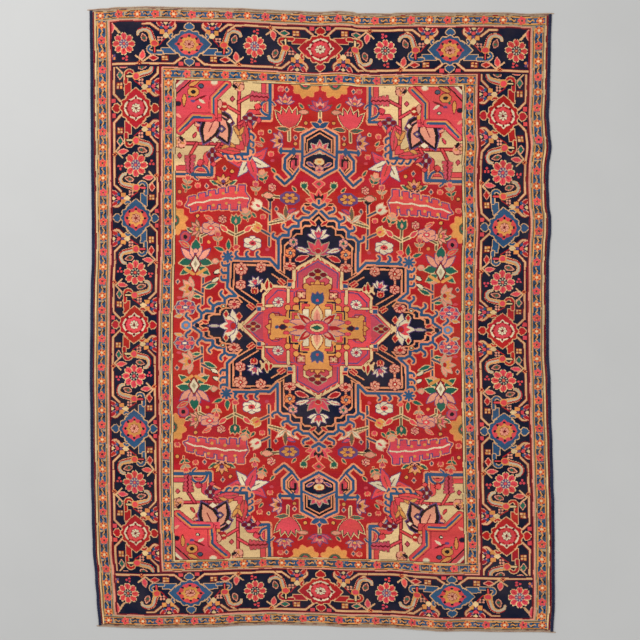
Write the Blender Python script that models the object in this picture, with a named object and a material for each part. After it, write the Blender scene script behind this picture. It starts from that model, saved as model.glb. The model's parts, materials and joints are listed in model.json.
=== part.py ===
"""A flat hand-knotted rug: its knotted body, an overcast selvedge down each side and an overcast binding
along each end. Metres, +Z up, +Y from the bottom end to the top end, the floor at z = 0.
Every piece is placed in loom coordinates: u across the warps and v along them, both from the loom's centre.
lie() then lays that straight rectangle down as the rug really lies, a little askew, its edges uneven."""

import math

import bmesh
import bpy
from mathutils import Matrix

# Driving dimensions of the straight rectangle on the loom
RUG_WIDTH = 2.50
RUG_LENGTH = 3.36
PILE_TOP = 0.008  # foundation and pile together
PILE_SLOPE = 0.003  # the clipped pile falls away over this distance at its edge
FLAT_WEAVE_TOP = 0.003
FLAT_WEAVE_WIDTH = 0.008  # the band between the pile and the binding at each end
SELVEDGE_WIDTH = 0.018
SELVEDGE_TOP = 0.009
BINDING_WIDTH = 0.007
BINDING_TOP = 0.006
TAIL_LENGTH = 0.012  # the end of the binding's yarn, past each corner
TAIL_WIDTH = 0.004
TAIL_TOP = 0.003
GAP = 0.0003  # between touching pieces

# How the rug lies
SKEW = 0.0142  # the ends drop this much towards -Y for each metre towards +X
FADE = 3  # an edge's waves fade towards the middle with this power of the way there

# How far each edge lies outside the straight rectangle: share of the edge, metres outward.
# The ends run from -X to +X and the sides from the bottom end to the top end.
TOP_EDGE = (
    (0.000, -0.012), (0.031, -0.005), (0.064, 0.004), (0.129, 0.010), (0.238, 0.008), (0.324, 0.008),
    (0.368, 0.003), (0.433, -0.002), (0.494, -0.007), (0.541, 0.000), (0.567, -0.003), (0.580, -0.011),
    (0.650, -0.010), (0.665, -0.005), (0.758, -0.001), (0.899, 0.004), (0.942, -0.001), (1.000, 0.004),
)
BOTTOM_EDGE = (
    (0.000, 0.001), (0.075, 0.006), (0.103, 0.008), (0.183, 0.002), (0.246, -0.003), (0.335, -0.016),
    (0.389, -0.022), (0.498, -0.020), (0.552, -0.014), (0.650, -0.015), (0.671, -0.011), (0.715, -0.004),
    (0.758, 0.002), (0.823, -0.002), (0.867, 0.000), (0.975, -0.003), (1.000, 0.000),
)
LEFT_EDGE = (
    (0.000, -0.043), (0.045, -0.031), (0.077, -0.023), (0.127, -0.010), (0.176, -0.005), (0.242, 0.000),
    (0.335, 0.003), (0.403, 0.006), (0.500, 0.003), (0.544, 0.001), (0.594, -0.005), (0.645, -0.005),
    (0.694, -0.003), (0.758, 0.000), (0.887, 0.003), (1.000, 0.007),
)
RIGHT_EDGE = (
    (0.000, 0.012), (0.048, 0.020), (0.144, 0.019), (0.210, 0.017), (0.242, 0.012), (0.303, 0.007),
    (0.352, 0.000), (0.402, -0.003), (0.452, -0.012), (0.594, -0.012), (0.626, -0.007), (0.648, 0.000),
    (0.668, 0.000), (0.692, -0.010), (0.726, -0.014), (0.750, -0.012), (0.785, 0.002), (0.811, -0.007),
    (0.835, -0.012), (0.868, -0.007), (0.950, -0.002), (1.000, 0.003),
)

# How finely the solids follow the edges
STEPS_U = 100
STEPS_V = 84
ROLL_SIDES = 8

# The body's end of each edge, where it meets the selvedges and the bindings
BODY_U = RUG_WIDTH / 2 - SELVEDGE_WIDTH
BODY_V = RUG_LENGTH / 2 - BINDING_WIDTH


def between(table, share):
    """The table's value at that share, eased from row to row so that the edge has no corners."""
    share = min(max(share, 0.0), 1.0)
    for (near, low), (far, high) in zip(table, table[1:]):
        if share <= far:
            way = (share - near) / (far - near)
            return low + (high - low) * (1 - math.cos(math.pi * way)) / 2
    return table[-1][1]


def lie(u, v, z):
    """A loom point at height z, as the rug lies on the floor."""
    s = u / RUG_WIDTH + 0.5
    t = v / RUG_LENGTH + 0.5
    x = u - between(LEFT_EDGE, t) * (1 - s) ** FADE + between(RIGHT_EDGE, t) * s**FADE
    y = v - between(BOTTOM_EDGE, s) * (1 - t) ** FADE + between(TOP_EDGE, s) * t**FADE
    return x, y - SKEW * u, z


def spread(half, steps):
    """Evenly spaced values from -half to half, both included."""
    return [half * (2 * i / steps - 1) for i in range(steps + 1)]


def solid(name, verts, faces, colour, roughness):
    """A closed mesh object with its own dyed-yarn material."""
    mesh = bpy.data.meshes.new(name)
    mesh.from_pydata(verts, [], faces)
    form = bmesh.new()
    form.from_mesh(mesh)
    bmesh.ops.recalc_face_normals(form, faces=form.faces)
    form.to_mesh(mesh)
    form.free()
    material = bpy.data.materials.new(name)
    material.use_nodes = True
    shader = material.node_tree.nodes["Principled BSDF"]
    shader.inputs["Base Color"].default_value = (*colour, 1.0)
    shader.inputs["Roughness"].default_value = roughness
    shader.inputs["Metallic"].default_value = 0.0
    mesh.materials.append(material)
    piece = bpy.data.objects.new(name, mesh)
    bpy.context.scene.collection.objects.link(piece)
    return piece


def loop(inset_u, inset_v, z):
    """Points once round the body's edge, drawn in from it, anticlockwise from the bottom left corner."""
    across = spread(BODY_U - GAP - inset_u, STEPS_U)
    along = spread(BODY_V - GAP - inset_v, STEPS_V)
    corners = (
        [(u, along[0]) for u in across[:-1]]
        + [(across[-1], v) for v in along[:-1]]
        + [(u, along[-1]) for u in across[:0:-1]]
        + [(across[0], v) for v in along[:0:-1]]
    )
    return [lie(u, v, z) for u, v in corners]


def rug_body():
    """The cloth: flat below, thin in its flat-woven ends, and full pile over all the rest."""
    profile = (
        (0.0, 0.0, 0.0),
        (0.0, 0.0, FLAT_WEAVE_TOP),
        (GAP, FLAT_WEAVE_WIDTH, FLAT_WEAVE_TOP),
        (PILE_SLOPE, FLAT_WEAVE_WIDTH + PILE_SLOPE, PILE_TOP),
    )
    loops = [loop(*row) for row in profile]
    count = len(loops[0])
    faces = [tuple(range(count))[::-1]]
    for ring in range(len(loops) - 1):
        for k in range(count):
            near, after = ring * count + k, ring * count + (k + 1) % count
            faces.append((near, after, after + count, near + count))
    faces.append(tuple(range((len(loops) - 1) * count, len(loops) * count)))
    return solid("rug_body", sum(loops, []), faces, (0.40, 0.045, 0.030), 0.95)


def roll(name, stations, across, colour):
    """A flattened roll of overcast yarn. Each station is the loom place of its middle, its width and its
    height; across is the loom direction over its width."""
    round_off = math.cos(math.pi / ROLL_SIDES)
    verts, faces = [], []
    for (u, v), width, top in stations:
        for k in range(ROLL_SIDES):
            turn = 2 * math.pi * (k + 0.5) / ROLL_SIDES
            side = width / 2 * math.cos(turn) / round_off
            height = top / 2 * (1 + math.sin(turn) / round_off)
            verts.append(lie(u + across[0] * side, v + across[1] * side, height))
    for i in range(len(stations) - 1):
        for k in range(ROLL_SIDES):
            near, after = i * ROLL_SIDES + k, i * ROLL_SIDES + (k + 1) % ROLL_SIDES
            faces.append((near, after, after + ROLL_SIDES, near + ROLL_SIDES))
    faces.append(tuple(range(ROLL_SIDES))[::-1])
    faces.append(tuple(range(len(verts) - ROLL_SIDES, len(verts))))
    return solid(name, verts, faces, colour, 0.9)


def selvedge(name, side):
    """The overcast cord down one side; side is -1 on the left and 1 on the right."""
    middle = side * (RUG_WIDTH - SELVEDGE_WIDTH) / 2
    stations = [
        ((middle, v), SELVEDGE_WIDTH - 2 * GAP, SELVEDGE_TOP) for v in spread(BODY_V - GAP, STEPS_V)
    ]
    return roll(name, stations, (1.0, 0.0), (0.012, 0.018, 0.050))


def end_binding(name, end):
    """The overcast yarn along one end, with a tail past each corner; end is -1 or 1 for bottom or top."""
    middle = end * (RUG_LENGTH - BINDING_WIDTH) / 2
    corner = RUG_WIDTH / 2
    tip = corner + TAIL_LENGTH
    runs = [
        ((u, middle), BINDING_WIDTH - 2 * GAP, BINDING_TOP)
        for u in (-corner, *spread(BODY_U - GAP, STEPS_U), corner)
    ]
    stations = [((-tip, middle), TAIL_WIDTH, TAIL_TOP), *runs, ((tip, middle), TAIL_WIDTH, TAIL_TOP)]
    return roll(name, stations, (0.0, 1.0), (0.62, 0.50, 0.36))


def centre(pieces):
    """Move the rug so that the middle of its outline lies over the origin."""
    places = [vertex.co for piece in pieces for vertex in piece.data.vertices]
    middle_x = (min(p.x for p in places) + max(p.x for p in places)) / 2
    middle_y = (min(p.y for p in places) + max(p.y for p in places)) / 2
    for piece in pieces:
        piece.data.transform(Matrix.Translation((-middle_x, -middle_y, 0.0)))


for old in list(bpy.data.objects):
    bpy.data.objects.remove(old)

centre([
    rug_body(),
    selvedge("selvedge_left", -1),
    selvedge("selvedge_right", 1),
    end_binding("end_binding_bottom", -1),
    end_binding("end_binding_top", 1),
])
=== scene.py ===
import json
import math

import bpy
import numpy as np
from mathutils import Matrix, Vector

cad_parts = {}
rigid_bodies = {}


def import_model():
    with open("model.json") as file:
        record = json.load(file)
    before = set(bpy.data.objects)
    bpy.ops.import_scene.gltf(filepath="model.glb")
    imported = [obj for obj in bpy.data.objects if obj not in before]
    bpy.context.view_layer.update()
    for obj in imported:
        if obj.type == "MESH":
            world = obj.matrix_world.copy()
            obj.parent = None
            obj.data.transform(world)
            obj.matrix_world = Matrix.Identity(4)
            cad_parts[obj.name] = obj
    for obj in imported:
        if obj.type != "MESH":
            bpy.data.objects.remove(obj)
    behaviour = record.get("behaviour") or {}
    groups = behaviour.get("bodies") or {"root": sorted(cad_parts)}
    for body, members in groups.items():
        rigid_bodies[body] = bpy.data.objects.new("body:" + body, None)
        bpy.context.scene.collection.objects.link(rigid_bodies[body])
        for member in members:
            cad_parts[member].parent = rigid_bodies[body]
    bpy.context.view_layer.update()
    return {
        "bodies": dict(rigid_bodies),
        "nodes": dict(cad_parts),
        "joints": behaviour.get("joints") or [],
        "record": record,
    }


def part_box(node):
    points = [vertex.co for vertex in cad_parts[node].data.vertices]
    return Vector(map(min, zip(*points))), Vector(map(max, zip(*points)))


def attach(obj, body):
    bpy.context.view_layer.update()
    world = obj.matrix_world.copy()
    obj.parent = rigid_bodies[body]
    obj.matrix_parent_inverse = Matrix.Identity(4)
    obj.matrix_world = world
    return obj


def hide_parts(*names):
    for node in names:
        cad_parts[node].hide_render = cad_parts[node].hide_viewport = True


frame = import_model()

# The straight rectangle on the loom, in metres: u across the warps, v along them
RUG_WIDTH = 2.50
RUG_LENGTH = 3.36
PILE_TOP = 0.008
FLAT_WEAVE_TOP = 0.003
FLAT_WEAVE_WIDTH = 0.008  # the band between the pile and the binding at each end
SELVEDGE_WIDTH = 0.018
SELVEDGE_TOP = 0.009
BINDING_WIDTH = 0.007
BINDING_TOP = 0.006
TAIL_LENGTH = 0.012  # the end of the binding's yarn, past each corner
TAIL_WIDTH = 0.004
TAIL_TOP = 0.003
GAP = 0.0003  # between touching pieces
BODY_U = RUG_WIDTH / 2 - SELVEDGE_WIDTH
BODY_V = RUG_LENGTH / 2 - BINDING_WIDTH
PILE_V = RUG_LENGTH / 2 - BINDING_WIDTH - FLAT_WEAVE_WIDTH

# How the rug lies
SKEW = 0.0142  # the ends drop this much towards -Y for each metre towards +X
FADE = 3  # an edge's waves fade towards the middle with this power of the way there

# How far each edge lies outside the straight rectangle: share of the edge, metres outward.
# The ends run from -X to +X and the sides from the bottom end to the top end.
TOP_EDGE = (
    (0.000, -0.012), (0.031, -0.005), (0.064, 0.004), (0.129, 0.010), (0.238, 0.008), (0.324, 0.008),
    (0.368, 0.003), (0.433, -0.002), (0.494, -0.007), (0.541, 0.000), (0.567, -0.003), (0.580, -0.011),
    (0.650, -0.010), (0.665, -0.005), (0.758, -0.001), (0.899, 0.004), (0.942, -0.001), (1.000, 0.004),
)
BOTTOM_EDGE = (
    (0.000, 0.001), (0.075, 0.006), (0.103, 0.008), (0.183, 0.002), (0.246, -0.003), (0.335, -0.016),
    (0.389, -0.022), (0.498, -0.020), (0.552, -0.014), (0.650, -0.015), (0.671, -0.011), (0.715, -0.004),
    (0.758, 0.002), (0.823, -0.002), (0.867, 0.000), (0.975, -0.003), (1.000, 0.000),
)
LEFT_EDGE = (
    (0.000, -0.043), (0.045, -0.031), (0.077, -0.023), (0.127, -0.010), (0.176, -0.005), (0.242, 0.000),
    (0.335, 0.003), (0.403, 0.006), (0.500, 0.003), (0.544, 0.001), (0.594, -0.005), (0.645, -0.005),
    (0.694, -0.003), (0.758, 0.000), (0.887, 0.003), (1.000, 0.007),
)
RIGHT_EDGE = (
    (0.000, 0.012), (0.048, 0.020), (0.144, 0.019), (0.210, 0.017), (0.242, 0.012), (0.303, 0.007),
    (0.352, 0.000), (0.402, -0.003), (0.452, -0.012), (0.594, -0.012), (0.626, -0.007), (0.648, 0.000),
    (0.668, 0.000), (0.692, -0.010), (0.726, -0.014), (0.750, -0.012), (0.785, 0.002), (0.811, -0.007),
    (0.835, -0.012), (0.868, -0.007), (0.950, -0.002), (1.000, 0.003),
)

SQUARES_ACROSS = 461  # the drawing's unit is a square, and the rug is this many of them wide
SQUARE = RUG_WIDTH / SQUARES_ACROSS
KNOT = 0.0036  # about how far apart the knots are
CELL = 9  # the pile's faces are cut within cells of this many knots each way

# The yarns' red, green and blue, of 255
YARNS = {
    "red": (184, 29, 33),
    "wine": (122, 18, 32),
    "coral": (228, 74, 80),
    "salmon": (238, 156, 126),
    "orange": (240, 138, 82),
    "cream": (234, 196, 140),
    "ivory": (236, 216, 178),
    "gold": (228, 154, 80),
    "tan": (178, 156, 124),
    "blue": (46, 84, 120),
    "violet": (104, 72, 118),
    "navy": (16, 22, 46),
    "black": (26, 18, 26),
    "green": (32, 100, 80),
    "grey": (196, 178, 150),
    "brown": (128, 68, 56),
    "peach": (240, 152, 108),
    "rose": (204, 74, 88),
    "olive": (112, 92, 66),
    "slate": (66, 80, 98),
    "sky": (104, 140, 176),
    "sand": (230, 176, 124),
}
NAMES = list(YARNS)

# Where the woven pattern strays from the straight drawing, in squares: y on the drawing, then the stray of
# the left edge of the field, of the middle and of the right edge.
STRAY_RIGHT = (
    (-310, -2.0, -1.0, -1.0), (-240, -3.1, -1.7, -2.0), (-180, -4.0, -2.2, -3.0), (-98, -3.5, -2.5, -3.0),
    (0, -3.9, -3.8, -2.7), (115, -2.1, -2.3, -1.8), (230, -0.7, -0.5, -1.8), (310, -0.5, -0.5, -1.5),
)
STRAY_DOWN = (
    (-310, 0.0, 0.0, 0.0), (-239, 3.0, 1.0, 2.5), (-212, 3.2, 2.0, 1.5), (-159, 5.6, 4.0, 2.7),
    (-106, 5.0, 5.0, 2.9), (-53, 5.6, 6.0, 5.1), (0, 7.4, 8.3, 8.4), (53, 8.3, 9.0, 13.1),
    (106, 7.0, 8.0, 11.0), (159, 7.0, 7.0, 9.4), (212, 3.3, 5.0, 5.4), (239, 1.5, 4.0, 3.5),
    (310, 0.0, 0.0, 0.0),
)

# Places on the drawing, in squares from its middle: x across, y along
EDGE_X, EDGE_Y = SQUARES_ACROSS / 2, 310  # the rug's side and end
FIELD_X, FIELD_Y = 143.5, 244.6  # the field's side and end
OVER = 4  # how far a drawing runs on past its own edge, out of sight
WAVES = 10  # in the unevenness of the hand
UNEVEN = 0.6  # how far that moves a knot
ROUND = 20  # sides of a drawn disc


def stray(table, x, y, outer):
    """How far the weave strays at x, y; outer is the share of the field's stray left at the rug's sides."""
    rows = np.array(table)
    left, middle, right = (np.interp(y, rows[:, 0], rows[:, k]) for k in (1, 2, 3))
    stations = np.array([-EDGE_X, -FIELD_X, 0.0, FIELD_X, EDGE_X])
    values = np.stack([left * outer, left, middle, right, right * outer])
    k = np.clip(np.searchsorted(stations, x) - 1, 0, 3)
    way = (x - stations[k]) / (stations[k + 1] - stations[k])
    low = np.take_along_axis(values, k[None], 0)[0]
    high = np.take_along_axis(values, k[None] + 1, 0)[0]
    return low + (high - low) * way


def wobble(a, b, seed):
    """A gentle unevenness of the hand."""
    out = np.zeros_like(a)
    rng = np.random.default_rng(seed)
    for _ in range(WAVES):
        wave = rng.uniform(14, 60)
        turn = rng.uniform(0, 2 * math.pi)
        phase = rng.uniform(0, 2 * math.pi)
        out += np.sin((a * math.cos(turn) + b * math.sin(turn)) * 2 * math.pi / wave + phase)
    return out / WAVES


class View:
    """Knots whose places on the drawing are x and y; yarn holds one yarn number for each."""

    def __init__(self, x, y, yarn):
        self.x, self.y, self.yarn = x, y, yarn
        self.rows = (y.min(axis=1), y.max(axis=1))
        self.cols = (x.min(axis=0), x.max(axis=0))

    def window(self, low, high):
        """The rows and columns that can hold a place between low and high."""
        rows = np.flatnonzero((self.rows[1] >= low[1]) & (self.rows[0] <= high[1]))
        cols = np.flatnonzero((self.cols[1] >= low[0]) & (self.cols[0] <= high[0]))
        if not len(rows) or not len(cols):
            return None
        return slice(rows[0], rows[-1] + 1), slice(cols[0], cols[-1] + 1)


class Pen:
    """Draws on the views, in its own place, turn, size and flip."""

    def __init__(self, views, matrix=None):
        self.views = views
        self.matrix = np.eye(3) if matrix is None else matrix

    def at(self, x=0.0, y=0.0, turn=0.0, size=1.0, wide=1.0, flip=False):
        c, s = math.cos(math.radians(turn)), math.sin(math.radians(turn))
        sx = size * wide * (-1 if flip else 1)
        local = np.array([[c * sx, -s * size, x], [s * sx, c * size, y], [0, 0, 1.0]])
        return Pen(self.views, self.matrix @ local)

    def _map(self, points):
        p = np.asarray(points, float).reshape(-1, 2)
        return p @ self.matrix[:2, :2].T + self.matrix[:2, 2]

    def _scale(self):
        return math.sqrt(abs(np.linalg.det(self.matrix[:2, :2])))

    def _paint(self, yarn, low, high, inside):
        for view in self.views:
            window = view.window(low, high)
            if window:
                mask = inside(view.x[window], view.y[window])
                view.yarn[window][mask] = NAMES.index(yarn)

    def line(self, yarn, width, *points, edge=None, rim=1.0):
        p = self._map(points)
        if edge:
            self._stroke(edge, width * self._scale() + 2 * rim, p)
        self._stroke(yarn, width * self._scale(), p)

    def _stroke(self, yarn, width, p):
        def inside(x, y):
            mask = np.zeros(x.shape, bool)
            for (x0, y0), (x1, y1) in zip(p, p[1:]):
                dx, dy = x1 - x0, y1 - y0
                way = np.clip(((x - x0) * dx + (y - y0) * dy) / max(dx * dx + dy * dy, 1e-9), 0, 1)
                mask |= (x - x0 - way * dx) ** 2 + (y - y0 - way * dy) ** 2 <= (width / 2) ** 2
            return mask
        self._paint(yarn, p.min(0) - width / 2, p.max(0) + width / 2, inside)

    def fill(self, yarn, *points, edge=None, rim=1.0):
        p = self._map(points)
        ring = np.vstack([p, p[:1]])
        if edge:
            self._stroke(edge, 2 * rim, ring)

        def inside(x, y):
            mask = np.zeros(x.shape, bool)
            for (x0, y0), (x1, y1) in zip(ring, ring[1:]):
                if y0 != y1:
                    mask ^= ((y0 > y) != (y1 > y)) & (x < (x1 - x0) * (y - y0) / (y1 - y0) + x0)
            return mask
        self._paint(yarn, p.min(0), p.max(0), inside)

    def free(self, yarn, x, y, reach):
        """Whether only this yarn lies within the reach of a place."""
        place = self._map([(x, y)])[0]
        view = self.views[0]
        window = view.window(place - reach, place + reach)
        return window is not None and bool((view.yarn[window] == NAMES.index(yarn)).all())

    def box(self, yarn, x0, y0, x1, y1, edge=None, rim=0.7):
        self.fill(yarn, (x0, y0), (x1, y0), (x1, y1), (x0, y1), edge=edge, rim=rim)

    def disc(self, yarn, x, y, rx, ry=None, edge=None, rim=1.0):
        ry = ry or rx
        turns = [2 * math.pi * k / ROUND for k in range(ROUND)]
        points = [(x + rx * math.cos(t), y + ry * math.sin(t)) for t in turns]
        self.fill(yarn, *points, edge=edge, rim=rim)


def knots():
    """The design place (x, y) of every knot, rows from the bottom end up."""
    across = int(round(2 * BODY_U / KNOT / CELL)) * CELL
    along = int(round(2 * PILE_V / KNOT / CELL)) * CELL
    u = (np.arange(across) + 0.5) / across * 2 * BODY_U - BODY_U
    v = (np.arange(along) + 0.5) / along * 2 * PILE_V - PILE_V
    u, v = np.meshgrid(u, v)
    x0, y0 = u / SQUARE, v / SQUARE
    x, y = x0.copy(), y0.copy()
    for _ in range(2):
        dx = stray(STRAY_RIGHT, x, y, 0.0)
        dy = stray(STRAY_DOWN, x, y, 1.0)
        x, y = x0 - dx, y0 + dy
    x += UNEVEN * wobble(x0, y0, 1)
    y += UNEVEN * wobble(x0, y0, 2)
    return x, y


# ---- motifs, each built from a few sizes at its own place ---------------------------------------


def around(count, reach, start=0.0):
    """Evenly spaced places on a circle, clockwise from the top."""
    turns = [math.radians(start + 360 * k / count) for k in range(count)]
    return [(reach * math.sin(t), reach * math.cos(t)) for t in turns]


def petals(pen, yarn, count, reach, rx, ry, edge=None, rim=0.8, start=0.0):
    for k in range(count):
        pen.at(turn=start + 360 * k / count).disc(yarn, 0, reach, rx, ry, edge=edge, rim=rim)


def dots(pen, yarn, size, *places):
    for x, y in places:
        pen.disc(yarn, x, y, size)


def scalloped(pen, yarn, rx, ry, lobes, depth=0.12, edge=None, rim=0.8):
    """An oval with an even scalloped edge."""
    turns = [2 * math.pi * k / (lobes * 8) for k in range(lobes * 8)]
    swell = [1 + depth * math.cos(lobes * t) for t in turns]
    points = [(rx * s * math.cos(t), ry * s * math.sin(t)) for t, s in zip(turns, swell)]
    pen.fill(yarn, *points, edge=edge, rim=rim)


def blade(pen, yarn, length, width, edge=None, vein=None, bend=0.0, rim=0.8):
    """A pointed leaf with straight sides up the y axis, its middle bent aside."""
    rows = (0.0, 0.3, 0.62, 1.0)
    spine = [(bend * math.sin(math.pi * t), length * t) for t in rows]
    half = [width / 2 * swell for swell in (0.3, 1.0, 0.85, 0.0)]
    right = [(x + h, y) for (x, y), h in zip(spine, half)]
    left = [(x - h, y) for (x, y), h in zip(spine, half)]
    pen.fill(yarn, *right, *left[::-1], edge=edge, rim=rim)
    if vein:
        pen.line(vein, 0.9, *spine[:3])


def toothed(pen, yarn, length, half, teeth, edge="cream", vein="cream", bend=0.0, taper=0.45, deep=0.55,
            rim=0.9):
    """A long leaf up the y axis with square lobes, staggered left and right and narrowing to the tip."""
    def place(t, w):
        return w + bend * t * t, length * t

    sides = []
    for side, lag in ((1, 0.10), (-1, 0.32)):
        rows = []
        for k in range(teeth):
            wide = side * half * (1 - taper * k / teeth)
            near, far = (k + lag) / teeth, (k + lag + 0.62) / teeth
            rows += [place(near, wide * deep), place(near, wide), place(far, wide), place(far, wide * deep)]
        sides.append(rows)
    pen.fill(yarn, place(-0.02, 0), *sides[0], place(1.04, 0), *sides[1][::-1], edge=edge, rim=rim)
    if vein:
        pen.line(vein, 1.5, *[place(k / 8, 0.6 * (-1) ** k) for k in range(9)])


def curl(pen, yarn, run, radius, sweep, thick, thin, edge=None, rim=0.8):
    """A band along the x axis that curls round at its end and grows thinner."""
    turns = [math.radians(sweep * k / 10) for k in range(1, 11)]
    path = [(run * k / 4, 0) for k in range(5)]
    path += [(run + radius * math.sin(t), radius * (1 - math.cos(t))) for t in turns]
    for tone, extra in ((edge, 2 * rim), (yarn, 0)):
        if tone:
            for k in range(len(path) - 1):
                pen.line(tone, thick + (thin - thick) * k / (len(path) - 2) + extra, path[k], path[k + 1])


def stairs(start, end, count, cut=0.35):
    """Even steps from start to end, across and then down, each outer corner cut off."""
    dx, dy = (end[0] - start[0]) / count, (end[1] - start[1]) / count
    path = [start]
    for k in range(count):
        x, y = start[0] + dx * k, start[1] + dy * k
        path += [(x + dx * (1 - cut), y), (x + dx, y + dy * cut), (x + dx, y + dy)]
    return path


def stepped_arm(half, foot, tip, steps, cut=0.35):
    """Half an arm up the y axis: a pointed tip, then even steps down to its full width."""
    dx, dy = half / (steps + 1), (tip - foot) / (steps + 1)
    return [(0, tip), *stairs((dx, tip - dy), (half, foot), steps, cut)]


def gable(half, foot, ridge, slope):
    """Half a gabled arm up the y axis, from its ridge down to its foot."""
    return [(0, ridge), (half, ridge - slope * half), (half, foot)]


def side_frame(x, low, high, cut):
    """A line along one side at x, its ends turned by the cut; a negative cut turns them the other way."""
    return [(x + cut, low), (x, low + abs(cut)), (x, high - abs(cut)), (x + cut, high)]


def swapped(path):
    """The path mirrored in the diagonal."""
    return [(y, x) for x, y in path]


def daisy(pen, yarn, radius, heart, count=8, edge="cream", core=None):
    size = radius * math.sin(math.pi / count)
    petals(pen, yarn, count, radius - size, size * 0.85, size, edge=edge, rim=0.6)
    pen.disc(heart, 0, 0, radius * 0.38)
    if core:
        pen.disc(core, 0, 0, radius * 0.16)


def blossom(pen, first, second, size=2.4):
    """Four squares with a dark cross between."""
    pen.box("wine", -size - 0.8, -size - 0.8, size + 0.8, size + 0.8)
    for sx, sy in ((-1, -1), (1, -1), (-1, 1), (1, 1)):
        pen.box(first if sx * sy > 0 else second, sx * 0.4, sy * 0.4, sx * size, sy * size)


def tulip(pen, yarn, size, edge="cream", heart=None):
    """A three-pointed bud up the y axis."""
    for turn in (-24, 24, 0):
        blade(pen.at(turn=turn), edge, size * 1.5 + 1.4, size * 0.9 + 1.8)
    for turn in (-24, 24, 0):
        blade(pen.at(turn=turn), yarn, size * 1.5, size * 0.9)
    if heart:
        blade(pen.at(0, size * 0.2), heart, size * 0.8, size * 0.4)


def diamond(pen, yarn, rx, ry, edge=None, heart=None, rim=0.8):
    pen.fill(yarn, (rx, 0), (0, ry), (-rx, 0), (0, -ry), edge=edge, rim=rim)
    if heart:
        diamond(pen, heart, rx * 0.45, ry * 0.45)


def octagon(pen, yarn, rx, ry, edge=None, heart=None, rim=0.8):
    turns = [math.radians(22.5 + 45 * k) for k in range(8)]
    points = [(rx * 1.08 * math.cos(t), ry * 1.08 * math.sin(t)) for t in turns]
    pen.fill(yarn, *points, edge=edge, rim=rim)
    if heart:
        octagon(pen, heart, rx * 0.45, ry * 0.45)


def lotus(pen, size, outer, inner, heart, edge="cream"):
    """A fan of petals up the y axis over a small cup."""
    for turn in (-80, 80, -45, 45, 0):
        blade(pen.at(turn=turn), outer, size, size * 0.44, edge=edge)
    for turn in (-34, 34, 0):
        blade(pen.at(turn=turn), inner, size * 0.7, size * 0.3)
    pen.disc(heart, 0, size * 0.12, size * 0.2, size * 0.16, edge=edge, rim=0.5)


def quatrefoil(pen, yarn, rx, ry, heart, gap="wine", rim="wine"):
    """Four blunt petals with a dark cross between."""
    octagon(pen, gap, rx * 0.9, ry * 0.9)
    for x, y in ((rx * 0.6, 0), (-rx * 0.6, 0), (0, ry * 0.6), (0, -ry * 0.6)):
        pen.disc(yarn, x, y, rx * 0.4, ry * 0.4, edge=rim, rim=0.6)
    pen.disc(heart, 0, 0, rx * 0.26, ry * 0.26)


def star(pen):
    for turn in (35, -35):
        pen.at(turn=turn).line("cream", 1.9, (0, -5), (0, 5), edge="wine", rim=0.6)
    pen.disc("cream", 0, 0, 2.6)


def bouquet(pen, table):
    """Rows of a motif, its place, its turn and the rest of what it takes."""
    for make, x, y, turn, *rest in table:
        make(pen.at(x, y, turn=turn), *rest)


def stalk(pen, *points, core=1.6, yarn="olive", edge="cream"):
    pen.line(yarn, core, *points, edge=edge, rim=1.0)


def tree(pen, height, reach, buds, rise=0.5, both=False, lean=60, **look):
    """A trunk up the y axis. Its last bud is at its top, the others on arms at even heights, to the right
    and to the left by turns or on both sides."""
    step = height / len(buds)
    stalk(pen, (0, 0), (0, height), **look)
    for k, (make, *rest) in enumerate(buds[:-1]):
        for side in (1, -1) if both else (1 - 2 * (k % 2),):
            end = (side * reach, step * (k + 1) + rise * reach)
            stalk(pen, (0, step * (k + 1)), end, **look)
            make(pen.at(*end, turn=-lean * side), *rest)
    make, *rest = buds[-1]
    make(pen.at(0, height), *rest)


# ---- the main border ----------------------------------------------------------------------------
# Local place: x across the border, outer side negative, y along it from a large flower to a rosette.

BORDER_HALF, BORDER_PITCH = 24.4, 53  # at the sides: half its width, and from a large flower to a rosette
SIDE_MIDDLE, SIDE_REACH = 184.6, 256  # at the sides: how far out its middle lies, and half its length
END_HALF, END_PITCH = 22.6, 65.5
END_MIDDLE, END_REACH = 273.8, 209
END_LONG, END_WIDE = 1.16, 0.88  # its units' size at the ends, along and across, of that at the sides


def rosette(pen, dark):
    petals(pen, "coral", 8, 8.0, 3.0, 3.5, edge="cream", rim=0.9)
    dots(pen, "navy", 0.9, *around(8, 12.2))
    dots(pen, "navy", 1.2, *around(8, 11, 22.5))
    for (x, y), (a, b) in zip(around(8, 6), around(8, 9)):
        pen.line("red", 0.8, (x, y), (a, b))
    pen.disc(dark, 0, 0, 4.9)
    petals(pen, "grey", 8, 3.4, 0.7, 1.3)
    pen.disc("coral", 0, 0, 1.5)
    pen.disc("gold", 0, 0, 0.6)


def curled_leaf(pen, stem):
    pen.line(stem, 1.8, (-9, 30), (-2, 30), edge="black", rim=1.0)
    p = pen.at(3, 31, turn=14)
    curl(p, "grey", 9, 5.6, 165, 4.6, 1.6, edge="sand", rim=0.7)
    curl(p.at(0, -1.6), "red", 9, 7.2, 120, 1.4, 0.9)
    curl(p.at(0, 1.5), "gold", 9, 4.1, 90, 1.2, 0.8)
    octagon(pen.at(0, 30), "coral", 2.8, 2.8, edge="gold")
    blade(pen.at(3, 38, turn=-75), "brown", 8, 4, "salmon")
    pen.disc("green", 6, 38.6, 1.3)
    dots(pen.at(5, 25), "salmon", 1.15, *around(4, 2, 45))
    pen.disc("navy", 5, 25, 0.6)


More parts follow.
